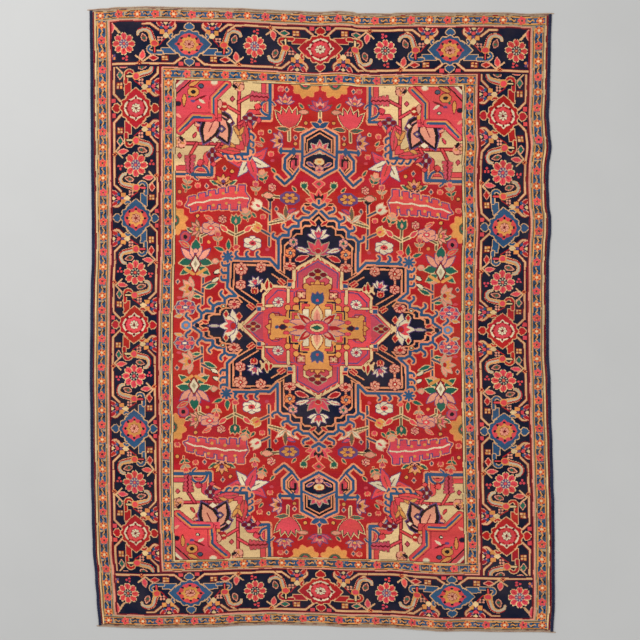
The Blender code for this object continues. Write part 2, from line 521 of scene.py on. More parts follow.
def spray(pen):
    """A cream leaf and two red ones with their buds, beside the curled leaf."""
    pen.line("red", 0.9, (-2, 26), (7, 20))
    blade(pen.at(6, 20, turn=-90), "cream", 7, 5)
    for s in (1, -1):
        blade(pen.at(19, 20 + 3 * s, turn=-90 + 38 * s), "red", 8, 3.4, "salmon")
        pen.box("gold", 11, 20 + 2 * s, 15, 20 + 5 * s, edge="orange", rim=0.5)
        dots(pen, "blue", 1.5, (18, 20 + 4 * s))
        dots(pen, "violet", 1.0, (21, 20 + 3 * s))
    dots(pen, "coral", 1.9, (18, 20))
    dots(pen, "violet", 1.5, (14, 20))
    diamond(pen.at(23, 20), "cream", 2.4, 2)


def half_unit(pen, body, stem, bud):
    """What lies between a large flower and the rosette beyond it, with the frame lines at both sides."""
    rail, step, frame = 0.9 * BORDER_HALF, BORDER_PITCH / 8, dict(edge="wine", rim=0.7)
    pen.line("sand", 1.8, *side_frame(-rail, step, 12 * step, step), **frame)
    pen.line("sand", 1.8, *side_frame(rail, 4 * step, 7 * step, -step)[:3], **frame)
    curl(pen.at(13, 17, turn=-45), "sand", 6, 4, 90, 2.2, 1.8, edge="wine")
    for s in (1, -1):
        pen.line("sand", 1.5, (2 - rail, 6 * step), (2 - rail + step, (6 + s) * step))
    pen.box(body, -11, 12, -5, 24, edge="sand")
    curl(pen.at(-10, 24, turn=-90, flip=True), body, 8, 3.5, 150, 3, 2, edge="sand")
    curled_leaf(pen, stem)
    spray(pen)
    curl(pen.at(6, 12, turn=-90, flip=True), body, 2, 2.4, 150, 2.4, 1.8, edge="sand")
    blossom(pen.at(-16, 21), "sand", "gold", 2.5)
    diamond(pen.at(-16, 31), bud, 2.6, 3.8, edge="salmon")
    dots(pen, "wine", 2.0, (-21, 43))
    dots(pen.at(-21, 43), "orange", 0.8, *around(4, 1.6))
    blade(pen.at(-17, 41, turn=-96), "coral", 9, 4, "salmon")
    dots(pen.at(-16, 55), "coral", 1.2, *around(3, 1.9))


def large_flower(pen, body, ring, lobes, heart, dark, reach=8.2):
    for s in (1, -1):
        blade(pen.at(turn=90 - 90 * s), body, 19, 22, "sand")
    scalloped(pen, body, 15, 13, 12, 0.06, edge="sand", rim=0.9)
    for s in (1, -1):
        blade(pen.at(turn=90 - 90 * s), body, 18, 20)
    pen.disc(ring, 0, 0, 12, 10)
    diamond(pen, ring, 12.5, 12.5)
    if ring == "ivory":
        pen.disc("red", 0, 0, 10, 8.6)
    scalloped(pen, lobes, reach, reach * 0.88, 8, 0.14)
    dots(pen, dark, 1.3, *around(8, min(reach + 1, 10.4)))
    petals(pen, heart, 8, 2.9, 1.25, 1.7, edge="wine", rim=0.35)
    pen.disc("wine", 0, 0, 0.9)


def finials(pen, body):
    for s in (1, -1):
        blade(pen.at(16 * s, 0, turn=-90 * s), body, 8, 8, "sand")
        pen.box("coral", -24, 5 * s, -20, 9 * s)


def unit(pen, red):
    """A large flower with half a unit above it and half below."""
    body, stem, bud = ("red", "cream", "green") if red else ("blue", "coral", "red")
    half_unit(pen, body, stem, bud)
    half_unit(pen.at(turn=180, flip=True), body, stem, bud)
    finials(pen, body)
    if red:
        large_flower(pen, "red", "ivory", "coral", "ivory", "wine", 8.6)
    else:
        large_flower(pen, "blue", "coral", "gold", "salmon", "navy")


def end_spray(pen, side):
    """What fills the border's outer corner beside the last rosette."""
    pen.line("sand", 2.2, (-9, 3 * side), (-20, 12 * side))
    blade(pen.at(-20, 12 * side, turn=-90), "coral", 9, 4, "salmon")
    dots(pen.at(13, 11 * side), "orange", 1.4, *around(2, 1.8, 45))
    dots(pen.at(13, 11 * side), "violet", 1.4, *around(2, 1.8, -45))


def main_border(pen):
    for side in (-1, 1):
        x = side * SIDE_MIDDLE
        pen.box("navy", x - BORDER_HALF, -SIDE_REACH, x + BORDER_HALF, SIDE_REACH)
        p = pen.at(x, 0, flip=side > 0)
        for k in (-2, -1, 0, 1, 2):
            unit(p.at(0, 2 * BORDER_PITCH * k, turn=180 * (k % 2)), k % 2 == 0)
        for k in (-3, -1, 1, 3):
            rosette(p.at(0, BORDER_PITCH * k), "navy" if k % 3 else "violet")
    for end in (-1, 1):
        y = end * END_MIDDLE
        pen.box("navy", -END_REACH, y - END_HALF, END_REACH, y + END_HALF)
        p = pen.at(0, y, turn=-90 * end)
        for k in (-1, 0, 1):
            place = p.at(0, 2 * END_PITCH * k, turn=180 * (k % 2))
            unit(place.at(size=END_LONG, wide=END_WIDE / END_LONG), k == 0)
        for k in (-3, -1, 1, 3):
            place = p.at(0, END_PITCH * k)
            if abs(k) == 3:
                end_spray(place, k // 3)
            rosette(place.at(size=0.94, wide=0.96), "violet" if k < 0 else "navy")


# ---- the guards and the plain lines -------------------------------------------------------------


def guard_flower(pen, warm):
    if warm:
        petals(pen, "orange", 6, 2.3, 1.35, 1.45, edge="gold", rim=0.35)
        dots(pen, "red", 0.75, *around(6, 2.6, 30))
        pen.disc("ivory", 0, 0, 1.25)
    else:
        petals(pen, "coral", 5, 2.2, 1.5, 1.7, edge="orange", rim=0.35)
        pen.disc("navy", 0, 0, 1.0)
        pen.disc("green", 0, 0, 0.5)


def guard(pen, reach, count, half, seed):
    """A narrow flowered band along the local y axis, its middle at the origin."""
    rng = np.random.default_rng(seed)
    pitch = 2 * reach / (count + 0.5)
    pen.box("tan", -half - 0.9, -reach, half + 0.9, reach)
    for s in (1, -1):
        pen.line("black", 0.55, (s * (half + 0.2), -reach), (s * (half + 0.2), reach))
        pen.line("gold", 0.9, (s * (half - 0.6), -reach), (s * (half - 0.6), reach))
    for k in range(count + 1):
        y = (k - count / 2) * pitch
        for s in (1, -1):
            low, high = y + pitch * rng.uniform(0.05, 0.3), min(y + pitch * rng.uniform(0.55, 0.9), reach)
            if low < reach - 2:
                pen.box("slate" if k % 3 else "blue", -s * 0.8, low, s * (half - 1.0), high)
        pen.box("blue", -half + 1.0, y - 4.4, half - 1.0, y + 4.4)
        guard_flower(pen.at(0, y), k % 2 == 0)
        if k < count:
            p = pen.at(0, y + pitch / 2, flip=k % 2 == 0)
            for s in (1, -1):
                curl(p.at(turn=90 - 90 * s), "black", 1.2, 1.2, 120, 1.0, 1.0)
                curl(p.at(turn=150 - 90 * s), "gold", 1.2, 1.2, 120, 1.1, 0.9)


def square_ring(pen, yarn, side_out, end_out, side_in, end_in):
    """A plain line round the rug between two distances in from its sides and from its ends."""
    x0, y0, x1, y1 = EDGE_X - side_out, EDGE_Y - end_out, EDGE_X - side_in, EDGE_Y - end_in
    for s in (1, -1):
        pen.box(yarn, s * x0, -y0, s * x1, y0)
        pen.box(yarn, -x0, s * y0, x0, s * y1)


# Plain lines round the rug, each a yarn and its distances for square_ring
LINES_BY_FIELD = (
    ("wine", 69.4, 58.0, 71.6, 59.0), ("salmon", 71.6, 59.0, 73.0, 60.0), ("tan", 73.0, 60.0, 85.6, 70.0),
)
LINES_AT_FIELD = (("cream", 85.0, 69.6, 86.2, 70.6), ("black", 86.2, 70.6, 86.8, 71.1))
LINES_BY_EDGE = (("navy", 0, 0, 4.0, 0), ("wine", 3.4, 0, 5.0, 0), ("tan", 5.0, 3.0, 18.4, 12.2))
LINES_BY_BORDER = (
    ("cream", 5.0, 1.6, 6.2, 2.6), ("tan", 17.4, 11.8, 18.6, 12.8), ("salmon", 18.6, 12.8, 20.2, 13.8),
    ("wine", 20.2, 13.8, 21.8, 15.0),
)
# Each guard's distance from the middle, half its length, flowers, half its width and seed: at the ends and
# at the sides
INNER_GUARD = ((245, 157, 16, 4.2, 5), (151.5, 239.5, 32, 4.7, 9))
OUTER_GUARD = ((302.6, 224, 24, 3.6, 15), (218.3, 297, 40, 4.6, 19))


def guards(pen, end, side):
    for s in (1, -1):
        out, *sizes, seed = end
        guard(pen.at(0, s * out, turn=90), *sizes, seed + s)
        out, *sizes, seed = side
        guard(pen.at(s * out, 0), *sizes, seed + s)


def borders(pen):
    main_border(pen)
    for row in LINES_BY_FIELD:
        square_ring(pen, *row)
    guards(pen, *INNER_GUARD)
    for row in LINES_AT_FIELD + LINES_BY_EDGE:
        square_ring(pen, *row)
    guards(pen, *OUTER_GUARD)
    for row in LINES_BY_BORDER:
        square_ring(pen, *row)


# ---- the field ----------------------------------------------------------------------------------
# One quarter is drawn, x out from the middle and y up; the other three mirror it.

TIP_UP, TIP_OUT = 120, 127  # the medallion's points
BLOCK = (90, 68)  # the corner block's outer corner
ARMS = tuple(4 / 9 * x for x in BLOCK)  # the half widths of the arm up and of the arm out
NOTCH = BLOCK[1] / 8  # the cut beside each arm
CORE = 0.6  # the coral medallion has this share of the navy one's sizes, and the gold one of the coral one's
GOLD_UP, GOLD_OUT = CORE ** 2 * TIP_UP, CORE ** 2 * TIP_OUT
GOLD_ARMS = (GOLD_OUT / 4, GOLD_UP / 4)  # the half widths of its arms
GOLD_BODY = (GOLD_OUT * 2 / 3, GOLD_UP * 2 / 3)  # the corner of its middle


def band(pen, *points, core=2.8, rim=1.7):
    pen.line("blue", core, *points, edge="peach", rim=rim)


def light(pen, *points, width=1.7):
    pen.line("peach", width, *points, edge="black", rim=1.0)


def hook(pen, x, y, turn):
    curl(pen.at(x, y, turn=turn), "blue", 4.2, 2.6, 110, 2.8, 2.0, edge="peach", rim=1.4)


def outline(inset=0.0):
    """The medallion's edge in this quarter, drawn in by the inset: a stepped arm up, the corner block with a
    notch beside each arm, and a stepped arm out."""
    (bx, by), (ax, ay) = [(x - inset, y - inset) for x, y in (BLOCK, ARMS)]
    up, out = TIP_UP - 1.4 * inset, TIP_OUT - 1.4 * inset
    arm_up = stepped_arm(ax, by + 0.3 * (up - by), up, 3, 0.4)
    arm_out = swapped(stepped_arm(ay, bx - NOTCH, out, 3, 0.4))[::-1]
    return [*arm_up, (ax, by - NOTCH), (ax + NOTCH, by), (bx, by), (bx, ay + NOTCH), *arm_out]


def medallion(pen):
    (bx, by), (ax, ay) = BLOCK, ARMS
    edge = outline()
    pen.fill("navy", (-OVER, TIP_UP), *edge, (TIP_OUT, -OVER), (-OVER, -OVER))
    light(pen, *outline(6))
    for k in (2, -2):
        light(pen, (CORE * ax + 7 + k, CORE * by + 6 - k), (ax + 4 + k, by - NOTCH - 4 - k), width=1.3)
        light(pen, (CORE * bx + 7 + k, CORE * ay + 5 - k), (bx - NOTCH - 3 + k, ay + 4 - k), width=1.3)
    band(pen, *edge)
    for k in range(4):
        hook(pen, ax * (k + 1) / 4, TIP_UP - k * 0.7 * (TIP_UP - by) / 4 - 4, 20)
        hook(pen, bx - NOTCH + (TIP_OUT - bx + NOTCH) * (k + 1) / 4, ay * (4 - k) / 4 - 2, 40)
    for k in (1, 2, 3):
        hook(pen, ax + NOTCH + (bx - ax - NOTCH) * k / 4, by, 50)
        hook(pen, bx, ay + NOTCH + (by - ay - NOTCH) * k / 4, 0)
    pen.line("blue", 2.8, *edge)
    for under in ("peach", None):
        for turn in (0, 45, 90, 135):
            pen.at(bx + 1, by + 2, turn=turn).line("blue", 2.4, (0, -5), (0, 5), edge=under, rim=1.2)
    for turn in (0, 60, -60):
        pen.at(0, TIP_UP + 1, turn=turn).line("blue", 3.2, (0, 0), (0, 7), edge="peach", rim=1.2)
    octagon(pen.at(TIP_OUT + 4, 0), "sky", 4.6, 4.2, edge="peach", heart="orange", rim=1.4)
    core(pen)
    gold_centre(pen)


def core(pen):
    """The coral medallion inside the navy one: two gabled arms and between them a box with a cut corner."""
    (bx, by), (ax, ay) = [(CORE * x, CORE * y) for x, y in (BLOCK, ARMS)]
    tip_up, tip_out, slope = CORE * TIP_UP, CORE * TIP_OUT, math.tan(math.radians(30))

    def shape(inset=0.0):
        cut = NOTCH + 0.4 * inset
        arm_up = gable(ax - inset, by, tip_up - 1.2 * inset, slope)
        arm_out = swapped(gable(ay - inset, bx, tip_out - 1.4 * inset, 1.0))[::-1]
        x, y = bx - inset, by - inset
        return arm_up, [(ax, y), (x - cut, y), (x, y - cut), (x, ay)], arm_out

    up, box, out = shape()
    pen.fill("coral", (-OVER, tip_up), *up, *box, *out, (tip_out, -OVER), (-OVER, -OVER))
    inner_up, inner_box, inner_out = shape(4)
    pen.fill("rose", *inner_up, (0, by))
    pen.fill("rose", *inner_out, (bx, 0))
    for path in (inner_up, inner_box, inner_out):
        pen.line("violet", 1.3, *path)
    cream = dict(edge="wine", rim=0.7)
    for path in (up, box, out):
        pen.line("cream", 2.5, *path, **cream)
    pen.line("cream", 3.2, *up[1:], **cream)
    pen.line("cream", 3.2, *out[:2], **cream)
    pen.line("cream", 2.2, *gable(0.55 * ax, by, 0.8 * tip_up, slope), **cream)
    pen.line("cream", 3.0, (ax + 5, by - 3), (ax + 5, by - 15), **cream)
    pen.line("cream", 2.2, (bx - 3, ay + 3), (bx - 17, ay + 3), **cream)
    for k in (1, 2, 3):
        pen.at(ax * k / 4, tip_up - slope * ax * k / 4 - 1, turn=30).line("cream", 1.1, (0, 0), (0, -3))
    for x, y in ((0, tip_up + 1), (bx - NOTCH / 2 + 4, by - NOTCH / 2 + 4), (tip_out + 1, 0)):
        star(pen.at(x, y))
    for x, y, rx, ry in ((0, 54, 9, 5.6), (64, 0, 7.6, 5)):
        quatrefoil(pen.at(x, y), "wine", rx, ry, "gold", gap="tan", rim="tan")
    for x, y, rx, ry in ((16, 33, 6.6, 4.8), (42, 10, 6.2, 4.4)):
        octagon(pen.at(x, y), "coral", rx, ry, edge="violet")
        blossom(pen.at(x, y, wide=rx / ry), "salmon", "salmon", ry * 0.6)
        pen.box("cream", x - 1.5, y - 1.5, x + 1.5, y + 1.5)
    daisy(pen.at(39, 25, wide=1.15), "ivory", 4.8, "rose", edge="violet", core="wine")


def gold_centre(pen):
    """A gold cross of even steps with a lobe on each, a crown on each arm and a flower over it."""
    (ax, ay), (bx, by) = GOLD_ARMS, GOLD_BODY
    slope = stairs((ax, by), (bx, ay), 3, 0.3)
    steps = [(0, GOLD_UP), (ax, GOLD_UP), *slope, (GOLD_OUT, ay), (GOLD_OUT, 0)]
    lobes = [(ax, GOLD_UP - 1), ((ax + bx) / 2, by - 1), (bx - 1, (ay + by) / 2), (GOLD_OUT - 1, ay)]
    dots(pen, "wine", 3.6, *lobes)
    for x, y, turn in ((0, GOLD_UP - 3, 0), (GOLD_OUT - 3, 0, -90)):
        for lean in (-50, 50, 0):
            blade(pen.at(x, y, turn=turn + lean), "gold", 9, 6.5, "wine")
    pen.line("wine", 1.8, *steps)
    pen.fill("gold", (-OVER, GOLD_UP), *steps, (GOLD_OUT, -OVER), (-OVER, -OVER))
    dots(pen, "gold", 2.8, *lobes)
    tulip(pen.at(0, 24), "blue", 8, "violet")
    dots(pen, "coral", 1.4, (0, 28))
    for x, y in (((ax + bx) / 2, by), (bx, (ay + by) / 2)):
        pen.line("navy", 1.6, (x - 3, y - 10), (x - 3, y - 3), (x - 11, y - 3))
        pen.line("coral", 2.2, (x - 6.5, y - 11), (x - 6.5, y - 6), (x - 12, y - 6), edge="wine", rim=0.5)
    f = pen.at(size=1.18)
    f.box("ivory", 7, 10, 12, 16, edge="wine")
    blade(f.at(0, 4), "cream", 16, 10, "wine")
    blade(f.at(0, 4), "salmon", 13, 6, vein="red")
    blade(f.at(9, 4, turn=-85), "salmon", 15, 4.4, "violet")
    f.disc("coral", 26, 5, 2.5, 1.5, edge="wine", rim=0.4)
    blade(f.at(5, 3, turn=-52), "red", 14, 6, "grey")
    blade(f.at(5, 3, turn=-52), "salmon", 9, 3)
    blade(f.at(8, 0, turn=-90), "red", 14, 4, "salmon")
    f.disc("tan", 23, 0, 1.3, 0.9)
    p = f.at(wide=1.6)
    p.disc("rose", 0, 0, 6.4, edge="violet", rim=0.4)
    dots(p, "coral", 1.15, *around(12, 4.9))
    p.disc("cream", 0, 0, 3.7, edge="wine", rim=0.3)
    diamond(p, "green", 2.7, 1.8, edge="black", rim=0.5)
    pen.disc("blue", 40, 0, 1.7, 1.3, edge="violet", rim=0.5)
    blade(pen.at(37, 0, turn=90), "navy", 7, 5, "wine")


def medallion_flowers(pen):
    for x, y in ((28, 43), (58, 18)):
        pen.box("blue", x - 2, y - 2, x + 2, y + 2, edge="salmon")
        pen.box("red", x - 3, y + 3, x + 2, y + 5, edge="peach")
        for k in (2, 4):
            pen.line("red", 1.8, (x + 3 + k, y + 4 - k), (x + 7 + k, y + 7 - k), edge="peach", rim=0.7)
    for low, high in (((28, 62), (28, 75)), ((28, 75), (25, 86)), ((77, 42), (77, 58))):
        pen.line("peach", 2.1, low, high)
    bouquet(pen, (
        (daisy, 28, 75, 0, "orange", 5.4, "slate", 6, "wine", "ivory"),
        (daisy, 25, 86, 0, "salmon", 4.4, "green", 6, "violet"),
        (daisy, 77, 58, 0, "salmon", 6.4, "red", 8, "wine", "ivory"),
        (daisy, 57, 60, 0, "salmon", 5.2, "red", 6, "wine", "ivory"),
        (daisy, 77, 42, 0, "salmon", 5.2, "red", 6, "wine", "ivory"),
        (lotus, 0, 76, 0, 15, "rose", "coral", "red", "tan"),
        (lotus, 0, 92, 0, 11, "ivory", "rose", "coral", "violet"),
        (blade, 22, 80, 105, "ivory", 14, 4.4, "violet", "rose"),
        (blade, 22, 68, 70, "red", 13, 5, "salmon"),
        (blade, 3, 104, -55, "red", 8, 2.6, "peach"),
        (lotus, 62, 43, -25, 8, "ivory", "rose", "coral", "violet"),
        (tulip, 63, 33, 0, "red", 4, "salmon", "gold"),
        (blade, 51, 38, 5, "red", 10, 3.6, "cream"),
        (blade, 46, 39, -15, "red", 6, 3, "cream"),
        (lotus, 82, 0, -90, 17, "ivory", "coral", "red", "violet"),
        (blade, 98, 0, -90, "grey", 11, 3, "violet"),
        (blade, 109, 3, -70, "red", 7, 3, "peach"),
        (diamond, 78, 10, 0, "red", 2.6, 3.6, "peach"),
        (diamond, 91, 12, 0, "red", 2.2, 3.6, "cream"),
        (octagon, 94, 20, 0, "olive", 2.4, 1.6, "orange", "ivory"),
        (octagon, 120, 0, 0, "navy", 2.4, 2.4),
    ))
    for x, y in ((28, 62), (83, 22)):
        daisy(pen.at(x, y, wide=1.35), "salmon", 4.6, "red", edge="wine")


def pendant(pen):
    """The piece between the medallion and the field's end: a long hexagon crossed at its waist, and a frame
    with cut corners at each side."""
    slope = math.tan(math.radians(30))
    low, high = TIP_UP + (FIELD_Y - TIP_UP) / 4, TIP_UP + (FIELD_Y - TIP_UP) * 2 / 3
    half = wide = (high - low) / 3
    waist, side = (low + high) / 2, half + wide
    upper, lower = gable(half, waist, high, slope), gable(half, waist, low, -slope)[::-1]
    frame = side_frame(side, low, waist, -8)
    pen.fill("navy", (-OVER, high), *upper, *lower, (-OVER, low))
    pen.fill("rose", (half, low + 12), *frame, (half, waist))
    lotus(pen.at(0, 177), 12, "rose", "salmon", "cream", "grey")
    octagon(pen.at(6, 178), "violet", 3, 1.8, edge="orange", heart="blue")
    octagon(pen.at(0, 167), "cream", 5, 3.4, edge="wine", heart="gold")
    daisy(pen.at(0, 159), "salmon", 4.4, "rose", count=6, edge="violet", core="slate")
    blade(pen.at(12, 166, turn=120), "violet", 8, 2.6, "salmon")
    light(pen, *gable(half - 5, waist, high - 7, slope), width=1.2)
    light(pen, *side_frame(side - 4.5, low + 5, waist - 5, -5), width=1.2)
    pen.line("black", 2.4, (half + 6, low + 12), (half + 6, waist - 8), (half + 11, waist - 8))
    pen.line("coral", 1.6, (half + 10, low + 10), (half + 10, waist - 12))
    foot, shoulder = [(side - 8, low), (side, low - 7), (side + 8, low)], [(half, waist), (side + 4, waist)]
    knee = [(half, low + 12), (side - 8, low)]
    band(pen, *frame)
    band(pen, *foot)
    band(pen, *shoulder)
    band(pen, *knee, core=2.2, rim=1.3)
    band(pen, *upper, *lower)
    band(pen, (0, waist + 3), (half, waist - 6), core=2.0, rim=1.2)
    for path in (frame, foot, shoulder, upper + lower):
        pen.line("blue", 2.8, *path)
    diamond(pen.at(half + wide / 2, waist), "blue", 3.4, 4.8)
    diamond(pen.at(side + 4, waist), "blue", 2.4, 4.2)
    for turn in (0, 60, -60):
        blade(pen.at(0, high - 1, turn=turn), "blue", 10, 5.6, "peach")


def half_flower(pen):
    scalloped(pen, "gold", 13, 13, 9, 0.12, edge="orange")
    pen.disc("olive", 0, 0, 6.2)
    pen.disc("green", 0, 0, 4.8)
    pen.disc("coral", 0, 0, 3.4)


def tall_palmette(pen):
    for half in (pen, pen.at(flip=True)):
        bouquet(half, (
            (blade, 4, 3, -100, "green", 13, 7, "cream"), (blade, 4, -3, -125, "green", 13, 6, "cream"),
            (blade, 4, 5, -45, "salmon", 15, 6, "violet"), (blade, 2, 7, -20, "salmon", 11, 4, "violet"),
        ))
        half.line("gold", 3.0, (10, -5), (2, -10))
    blade(pen.at(0, 13), "green", 12, 9, "salmon")
    diamond(pen.at(0, 0), "ivory", 4.4, 8, edge="wine", heart="tan", rim=1.4)
    octagon(pen.at(0, 13), "salmon", 2.2, 2, edge="violet", rim=0.6)


def twig(pen, length, pairs, yarn="green", bud="coral"):
    """A stem up the y axis with pairs of leaves and a bud."""
    pen.line("olive", 1.2, (0, 0), (0, length), edge="peach", rim=0.7)
    for k in range(pairs):
        for side in (1, -1):
            blade(pen.at(0, length * (k + 0.6) / (pairs + 0.4), turn=55 * side),
                  yarn if k % 2 == 0 else "tan", 6, 2.8, "peach", rim=0.6)
    tulip(pen.at(0, length - 1), bud, 3, "peach")


def great_tulip(pen):
    for turn in (-40, 40, -20, 20, 0):
        blade(pen.at(turn=turn), "cream", 23, 10)
        blade(pen.at(turn=turn), "black", 21.6, 8.4)
    for turn in (-40, 40, -20, 20, 0):
        blade(pen.at(turn=turn), "coral", 20, 7)


def leaf_fan(pen, size, *yarns):
    """Pointed leaves spread evenly from a blue knot."""
    count = len(yarns)
    for k in sorted(range(count), key=lambda k: abs(k - (count - 1) / 2), reverse=True):
        lean = 48 * (k - (count - 1) / 2)
        blade(pen.at(turn=lean), yarns[k], size - 0.05 * abs(lean), size * 0.34, "violet", "brown",
              bend=0.04 * lean)
    diamond(pen, "blue", 4, 4, edge="peach")


def coral_leaf(pen):
    """The long coral leaf with square lobes and a gold dot in each."""
    toothed(pen, "coral", 60, 12.4, 6, edge="peach", vein="ivory", bend=8, taper=0.5, deep=0.5, rim=2.0)
    toothed(pen, "coral", 60, 12.4, 6, edge="violet", vein="ivory", bend=8, taper=0.5, deep=0.5, rim=1.1)
    for k in range(4):
        y = 9 + 13 * k
        dots(pen, "gold", 1.5, (5 + 0.04 * k * y, y), (0.04 * k * y - 5, y + 3))


def field_trees(pen):
    slate = dict(yarn="slate", edge="peach", core=2.1)
    tree(pen.at(49, 82), 44, 9, (
        (tulip, "gold", 6, "cream", "coral"), (blade, "ivory", 11, 3.8, "salmon", "tan"),
        (tulip, "ivory", 7, "salmon", "coral"), (tulip, "black", 5, "salmon"),
    ), **slate)
    tree(pen.at(83, 80), 22, 9, (
        (blade, "coral", 9, 4, "cream"), (tulip, "green", 7, "peach", "salmon"),
    ), both=True, lean=50)
    tree(pen.at(115, 22), 27, 9, (
        (blade, "green", 9, 4, "cream"), (blade, "ivory", 9, 3.6, "black"),
        (tulip, "salmon", 6, "tan", "gold"),
    ), **slate)
    tree(pen.at(118, 84), 12, 8, (
        (blade, "green", 8, 3, "cream"), (octagon, "salmon", 3, 3, "wine"),
    ), both=True)
    tree(pen.at(96, 134), 10, 6, (
        (blade, "green", 8, 3, "cream"), (lotus, 9, "gold", "salmon", "violet", "wine"),
    ), both=True, yarn="navy", edge="salmon")
    for low, high in (((49, 104), (33, 108)), ((31, 188), (31, 201)), ((0, 208), (0, 221)),
                      ((0, 127), (15, 140)), ((29, 130), (56, 132))):
        stalk(pen, low, high)


def field_flowers(pen):
    field_trees(pen)
    coral_leaf(pen.at(71, 129, turn=-90))
    tall_palmette(pen.at(123, 62))
    great_tulip(pen.at(31, 201))
    for x, y, yarn, core in ((66, 84, "ivory", "wine"), (108, 98, "salmon", "ivory")):
        daisy(pen.at(x, y, wide=1.35), yarn, 7, "coral", 6, "violet", core)
    bouquet(pen, (
        (blade, 33, 108, 55, "ivory", 16, 3.8, "salmon", "tan"),
        (blade, 33, 108, -50, "ivory", 12, 3.8, "salmon", "tan"),
        (blade, 33, 110, 0, "olive", 13, 4, "peach"), (blade, 31, 116, 65, "coral", 8, 3, "violet"),
        (blade, 90, 77, 0, "green", 10, 4.4, "peach"), (blade, 85, 79, 80, "coral", 6, 4, "peach"),
        (blade, 95, 76, -70, "green", 10, 3.6, "peach"),
        (lotus, 121, 97, -90, 9, "salmon", "rose", "gold", "olive"),
        (octagon, 134, 89, 0, "rose", 4.6, 4.8, "violet", "black"),
        (blade, 130, 79, -60, "coral", 11, 4.6, "tan", "gold"),
        (half_flower, 15, 246, 0), (half_flower, 146, 105, 90),
        (blade, 104, 53, 65, "ivory", 9, 3.6, "black"),
        (blade, 112, 38, 65, "green", 12, 4, "cream"), (blade, 117, 29, -85, "green", 8, 3, "cream"),
        (lotus, 126, 37, -90, 12, "salmon", "gold", "red", "tan"),
        (scalloped, 132, 18, 0, "violet", 10, 7.4, 8, 0.06, "grey"),
        (blade, 135, 10, -100, "gold", 7, 3, "grey"), (blade, 106, 65, 90, "salmon", 6, 5, "tan"),
        (octagon, 138, 28, 0, "rose", 2.4, 1.4),
        (octagon, 51, 78, 0, "rose", 1.9, 1.7), (octagon, 47, 167, 0, "rose", 2.0, 1.5),
        (octagon, 110, 84, 0, "gold", 1.6, 1.6),
        (lotus, 0, 127, 0, 13, "coral", "black", "peach", "peach"),
        (diamond, 0, 145, 0, "coral", 6, 5, "peach", "olive"),
        (tulip, 15, 140, 0, "green", 4, "cream"), (blade, 15, 124, 90, "black", 7, 2.4, "peach"),
        (octagon, 29, 130, 0, "violet", 10, 6.6), (blade, 56, 132, 90, "salmon", 11, 6, "olive"),
        (leaf_fan, KNOT_X - 1, KNOT_X + CORNER_MIRROR - 3, 160, 25, *("coral", "ivory") * 2, "coral"),
        (lotus, 39, 187, -90, 10, "salmon", "gold", "wine", "violet"),
        (octagon, 50, 196, 0, "slate", 1.2, 1.2, "cream"),
        (blade, 31, 199, -85, "green", 13, 4, "peach", "brown"),
        (blade, 26, 199, 85, "green", 13, 4, "peach", "brown"),
        (blade, 12, 217, -90, "salmon", 10, 4.4, "olive"), (blade, 0, 219, -65, "cream", 13, 3, "olive"),
        (lotus, 0, 221, 0, 11, "rose", "salmon", "red", "violet"),
    ))
    petals(pen.at(29, 130, wide=1.5), "gold", 6, 3.3, 1.5, 1.9, edge="wine", rim=0.35, start=30)
    petals(pen.at(132, 18, wide=1.4), "coral", 6, 4.6, 1.7, 1.9, edge="salmon", rim=0.5, start=30)
    pen.box("ivory", 130, 17, 134, 19)


CORNER_MIRROR = FIELD_Y - FIELD_X  # the corner's two halves mirror each other in the line y = x + this
KNOT_X = FIELD_X / 2  # the knot of the corner's border on that line
CORNER_END = FIELD_X / 5  # where that border meets the field's end
KNEE = (FIELD_X * 3 / 4, FIELD_X * 3 / 4 + CORNER_MIRROR)  # where the outer corner's two runs start
RUN = (FIELD_X - KNEE[0]) / 2  # their first length


def corner_half():
    """The corner's border from its knot to the field's end, in even steps with their corners cut off."""
    steps = stairs((CORNER_END, FIELD_Y), (KNOT_X, KNOT_X + CORNER_MIRROR), 2)[::-1]
    return steps[:-2] + [(steps[-3][0], FIELD_Y + OVER)]


def bough(pen):
    """One of the corner's two flowering boughs; the other one mirrors it."""
    tree(pen.at(81, 191, flip=True), 44, 11, (
        (quatrefoil, "wine", 5.4, 7.2, "grey", "grey", "violet"), (tulip, "red", 6, "salmon", "cream"),
        (toothed, "rose", 18, 5.4, 5, "brown", "wine", 0.0, 0.45, 0.7, 0.6),
        (tulip, "salmon", 6, "wine", "gold"),
    ), rise=0.6, lean=90, core=2.0, yarn="coral", edge="wine")
    bouquet(pen, (
        (blade, 74, 181, -4, "coral", 24, 7, "wine", "brown"),
        (blade, 79, 186, -20, "gold", 15, 3.6, "brown"),
        (diamond, 99, 238, 0, "rose", 2.6, 3.4, "wine"), (diamond, 61, 207, 0, "coral", 2.4, 3, "wine"),
        (tulip, 64, 223, 150, "coral", 4, "wine"), (diamond, 88, 203, 0, "rose", 2.2, 3, "wine"),
        (blade, 100, 226, 180, "salmon", 9, 4.4, "wine"), (blade, 72, 205, 150, "coral", 9, 3.2, "wine"),
        (blade, 81, 191, 30, "gold", 10, 3.4, "brown"), (blade, 81, 191, -30, "gold", 10, 3.4, "brown"),
        (blade, 88, 241, 120, "black", 7, 3.6), (lotus, 82, 247, 180, 7, "salmon", "gold", "coral", "brown"),
    ))


